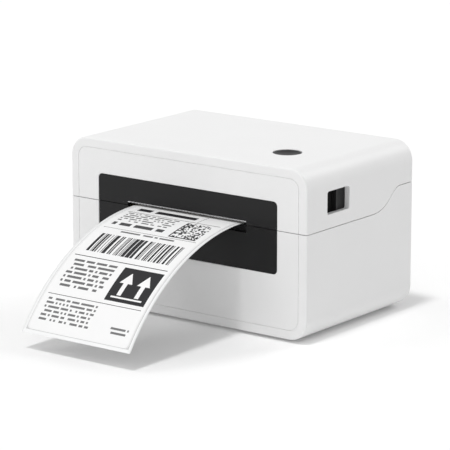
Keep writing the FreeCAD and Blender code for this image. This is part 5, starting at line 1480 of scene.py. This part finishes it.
@dataclass(frozen=True)
class Lamp:
    """A far lamp.

    Attributes:
        name: its name.
        strength: its strength.
        source: the direction it comes from.
        width: the angle over which it spreads, in degrees.
        away: how far off it hangs.
    """

    name: str
    strength: float
    source: Point
    width: float
    away: float = 2.0

    def build(self) -> None:
        """Hangs the lamp."""
        lamp = bpy.data.lights.new(self.name, "SUN")
        lamp.energy = self.strength
        lamp.angle = math.radians(self.width)
        made = show(self.name, lamp)
        made.rotation_euler = Vector(self.source).to_track_quat("Z", "Y").to_euler()
        made.location = Vector(self.source) * self.away


@dataclass
class Studio:
    """The pale floor, the soft light and the camera.

    Attributes:
        floor_reach: half the floor's width.
        floor_points: points along one side of the floor.
        floor_level: the floor's height, just under the feet.
        floor_white: the floor's colour.
        floor_rough: the floor's roughness.
        floor_glow: the light that the floor adds, so that it reads white where it is lit.
        ambient: the even light from all round.
        lamps: the overhead lamp, the broad one from the front, and two that draw the rounded edges.
        eye: the camera's place.
        aim: the point it looks at.
        lens: its focal length in millimetres.
        film: the width of its film in millimetres.
        sight: how far it sees.
    """

    floor_reach: float = 12.0
    floor_points: int = 9
    floor_level: float = -0.2 * MM
    floor_white: float = 0.95
    floor_rough: float = 0.9
    floor_glow: float = 0.06
    ambient: float = 0.41
    lamps: tuple[Lamp, ...] = (
        Lamp("overhead_light", strength=1.06, source=(0.0, -0.27, 0.963), width=8.0),
        Lamp("front_light", strength=0.89, source=(0.0, -0.97, 0.22), width=100.0),
        Lamp("rear_light", strength=0.52, source=(0.28, 0.74, 0.61), width=28.0),
        Lamp("left_light", strength=0.35, source=(-0.59, -0.23, 0.775), width=22.0),
    )
    eye: Point = (1.23186, -1.58391, 0.54608)
    aim: Point = (-0.02407, 0.07498, 0.05595)
    lens: float = 222.3
    film: float = 36.0
    sight: float = 100.0

    def build(self) -> None:
        """Sets the floor, the world, the lamps and the camera."""
        self._floor()
        self._world()
        for lamp in self.lamps:
            lamp.build()
        self._camera()
        bpy.context.scene.view_settings.view_transform = "Standard"
        log.info("studio: floor, %d lamps and camera", len(self.lamps))

    def _floor(self) -> None:
        """A flat sheet, a grid at one height, with a little glow of its own."""
        axis = np.linspace(-self.floor_reach, self.floor_reach, self.floor_points)
        x, y = np.meshgrid(axis, axis[::-1])
        mesh = grid_mesh("floor", np.stack([x, y, np.full_like(x, self.floor_level)], axis=-1))
        made, graph, shader = material("pale_floor")
        graph.put(shader.inputs["Base Color"], opaque((self.floor_white,) * 3))
        graph.put(shader.inputs["Roughness"], self.floor_rough)
        graph.put(shader.inputs["Specular IOR Level"], 0.0)
        graph.put(shader.inputs["Emission Color"], opaque(WHITE))
        graph.put(shader.inputs["Emission Strength"], self.floor_glow)
        mesh.materials.append(made)
        show("floor", mesh)

    def _world(self) -> None:
        """Even light, seen as plain white by the camera and in reflections."""
        world = bpy.data.worlds.new("studio")
        bpy.context.scene.world = world
        world.use_nodes = True
        graph = Graph(world.node_tree)
        back = world.node_tree.nodes["Background"]
        graph.put(back.inputs["Color"], opaque(WHITE))
        path = graph.node("LightPath").outputs
        mirrored = graph.sum(Sum.LARGER, path["Is Glossy Ray"], path["Is Transmission Ray"])
        seen = graph.sum(Sum.LARGER, path["Is Camera Ray"], mirrored)
        graph.put(back.inputs["Strength"], graph.spread(seen, self.ambient, 1.0))

    def _camera(self) -> None:
        """Sets the camera at the photograph's angle."""
        camera = bpy.data.cameras.new("camera")
        camera.lens = self.lens
        camera.sensor_width = self.film
        camera.clip_end = self.sight
        made = show("camera", camera)
        made.location = self.eye
        made.rotation_euler = (Vector(self.aim) - Vector(self.eye)).to_track_quat("-Z", "Y").to_euler()
        bpy.context.scene.camera = made


def main() -> None:
    """Builds the studio, dresses every assembly and hangs the label."""
    logging.basicConfig(level=logging.INFO, format="%(message)s")
    Studio().build()
    effects = Effects()
    for assembly in (Housing(), LidMechanism(), PrintHead(), LabelFeed(), Electrics()):
        assembly.dress(effects)
    LabelStrip().build(effects)


if __name__ == "__main__":
    main()
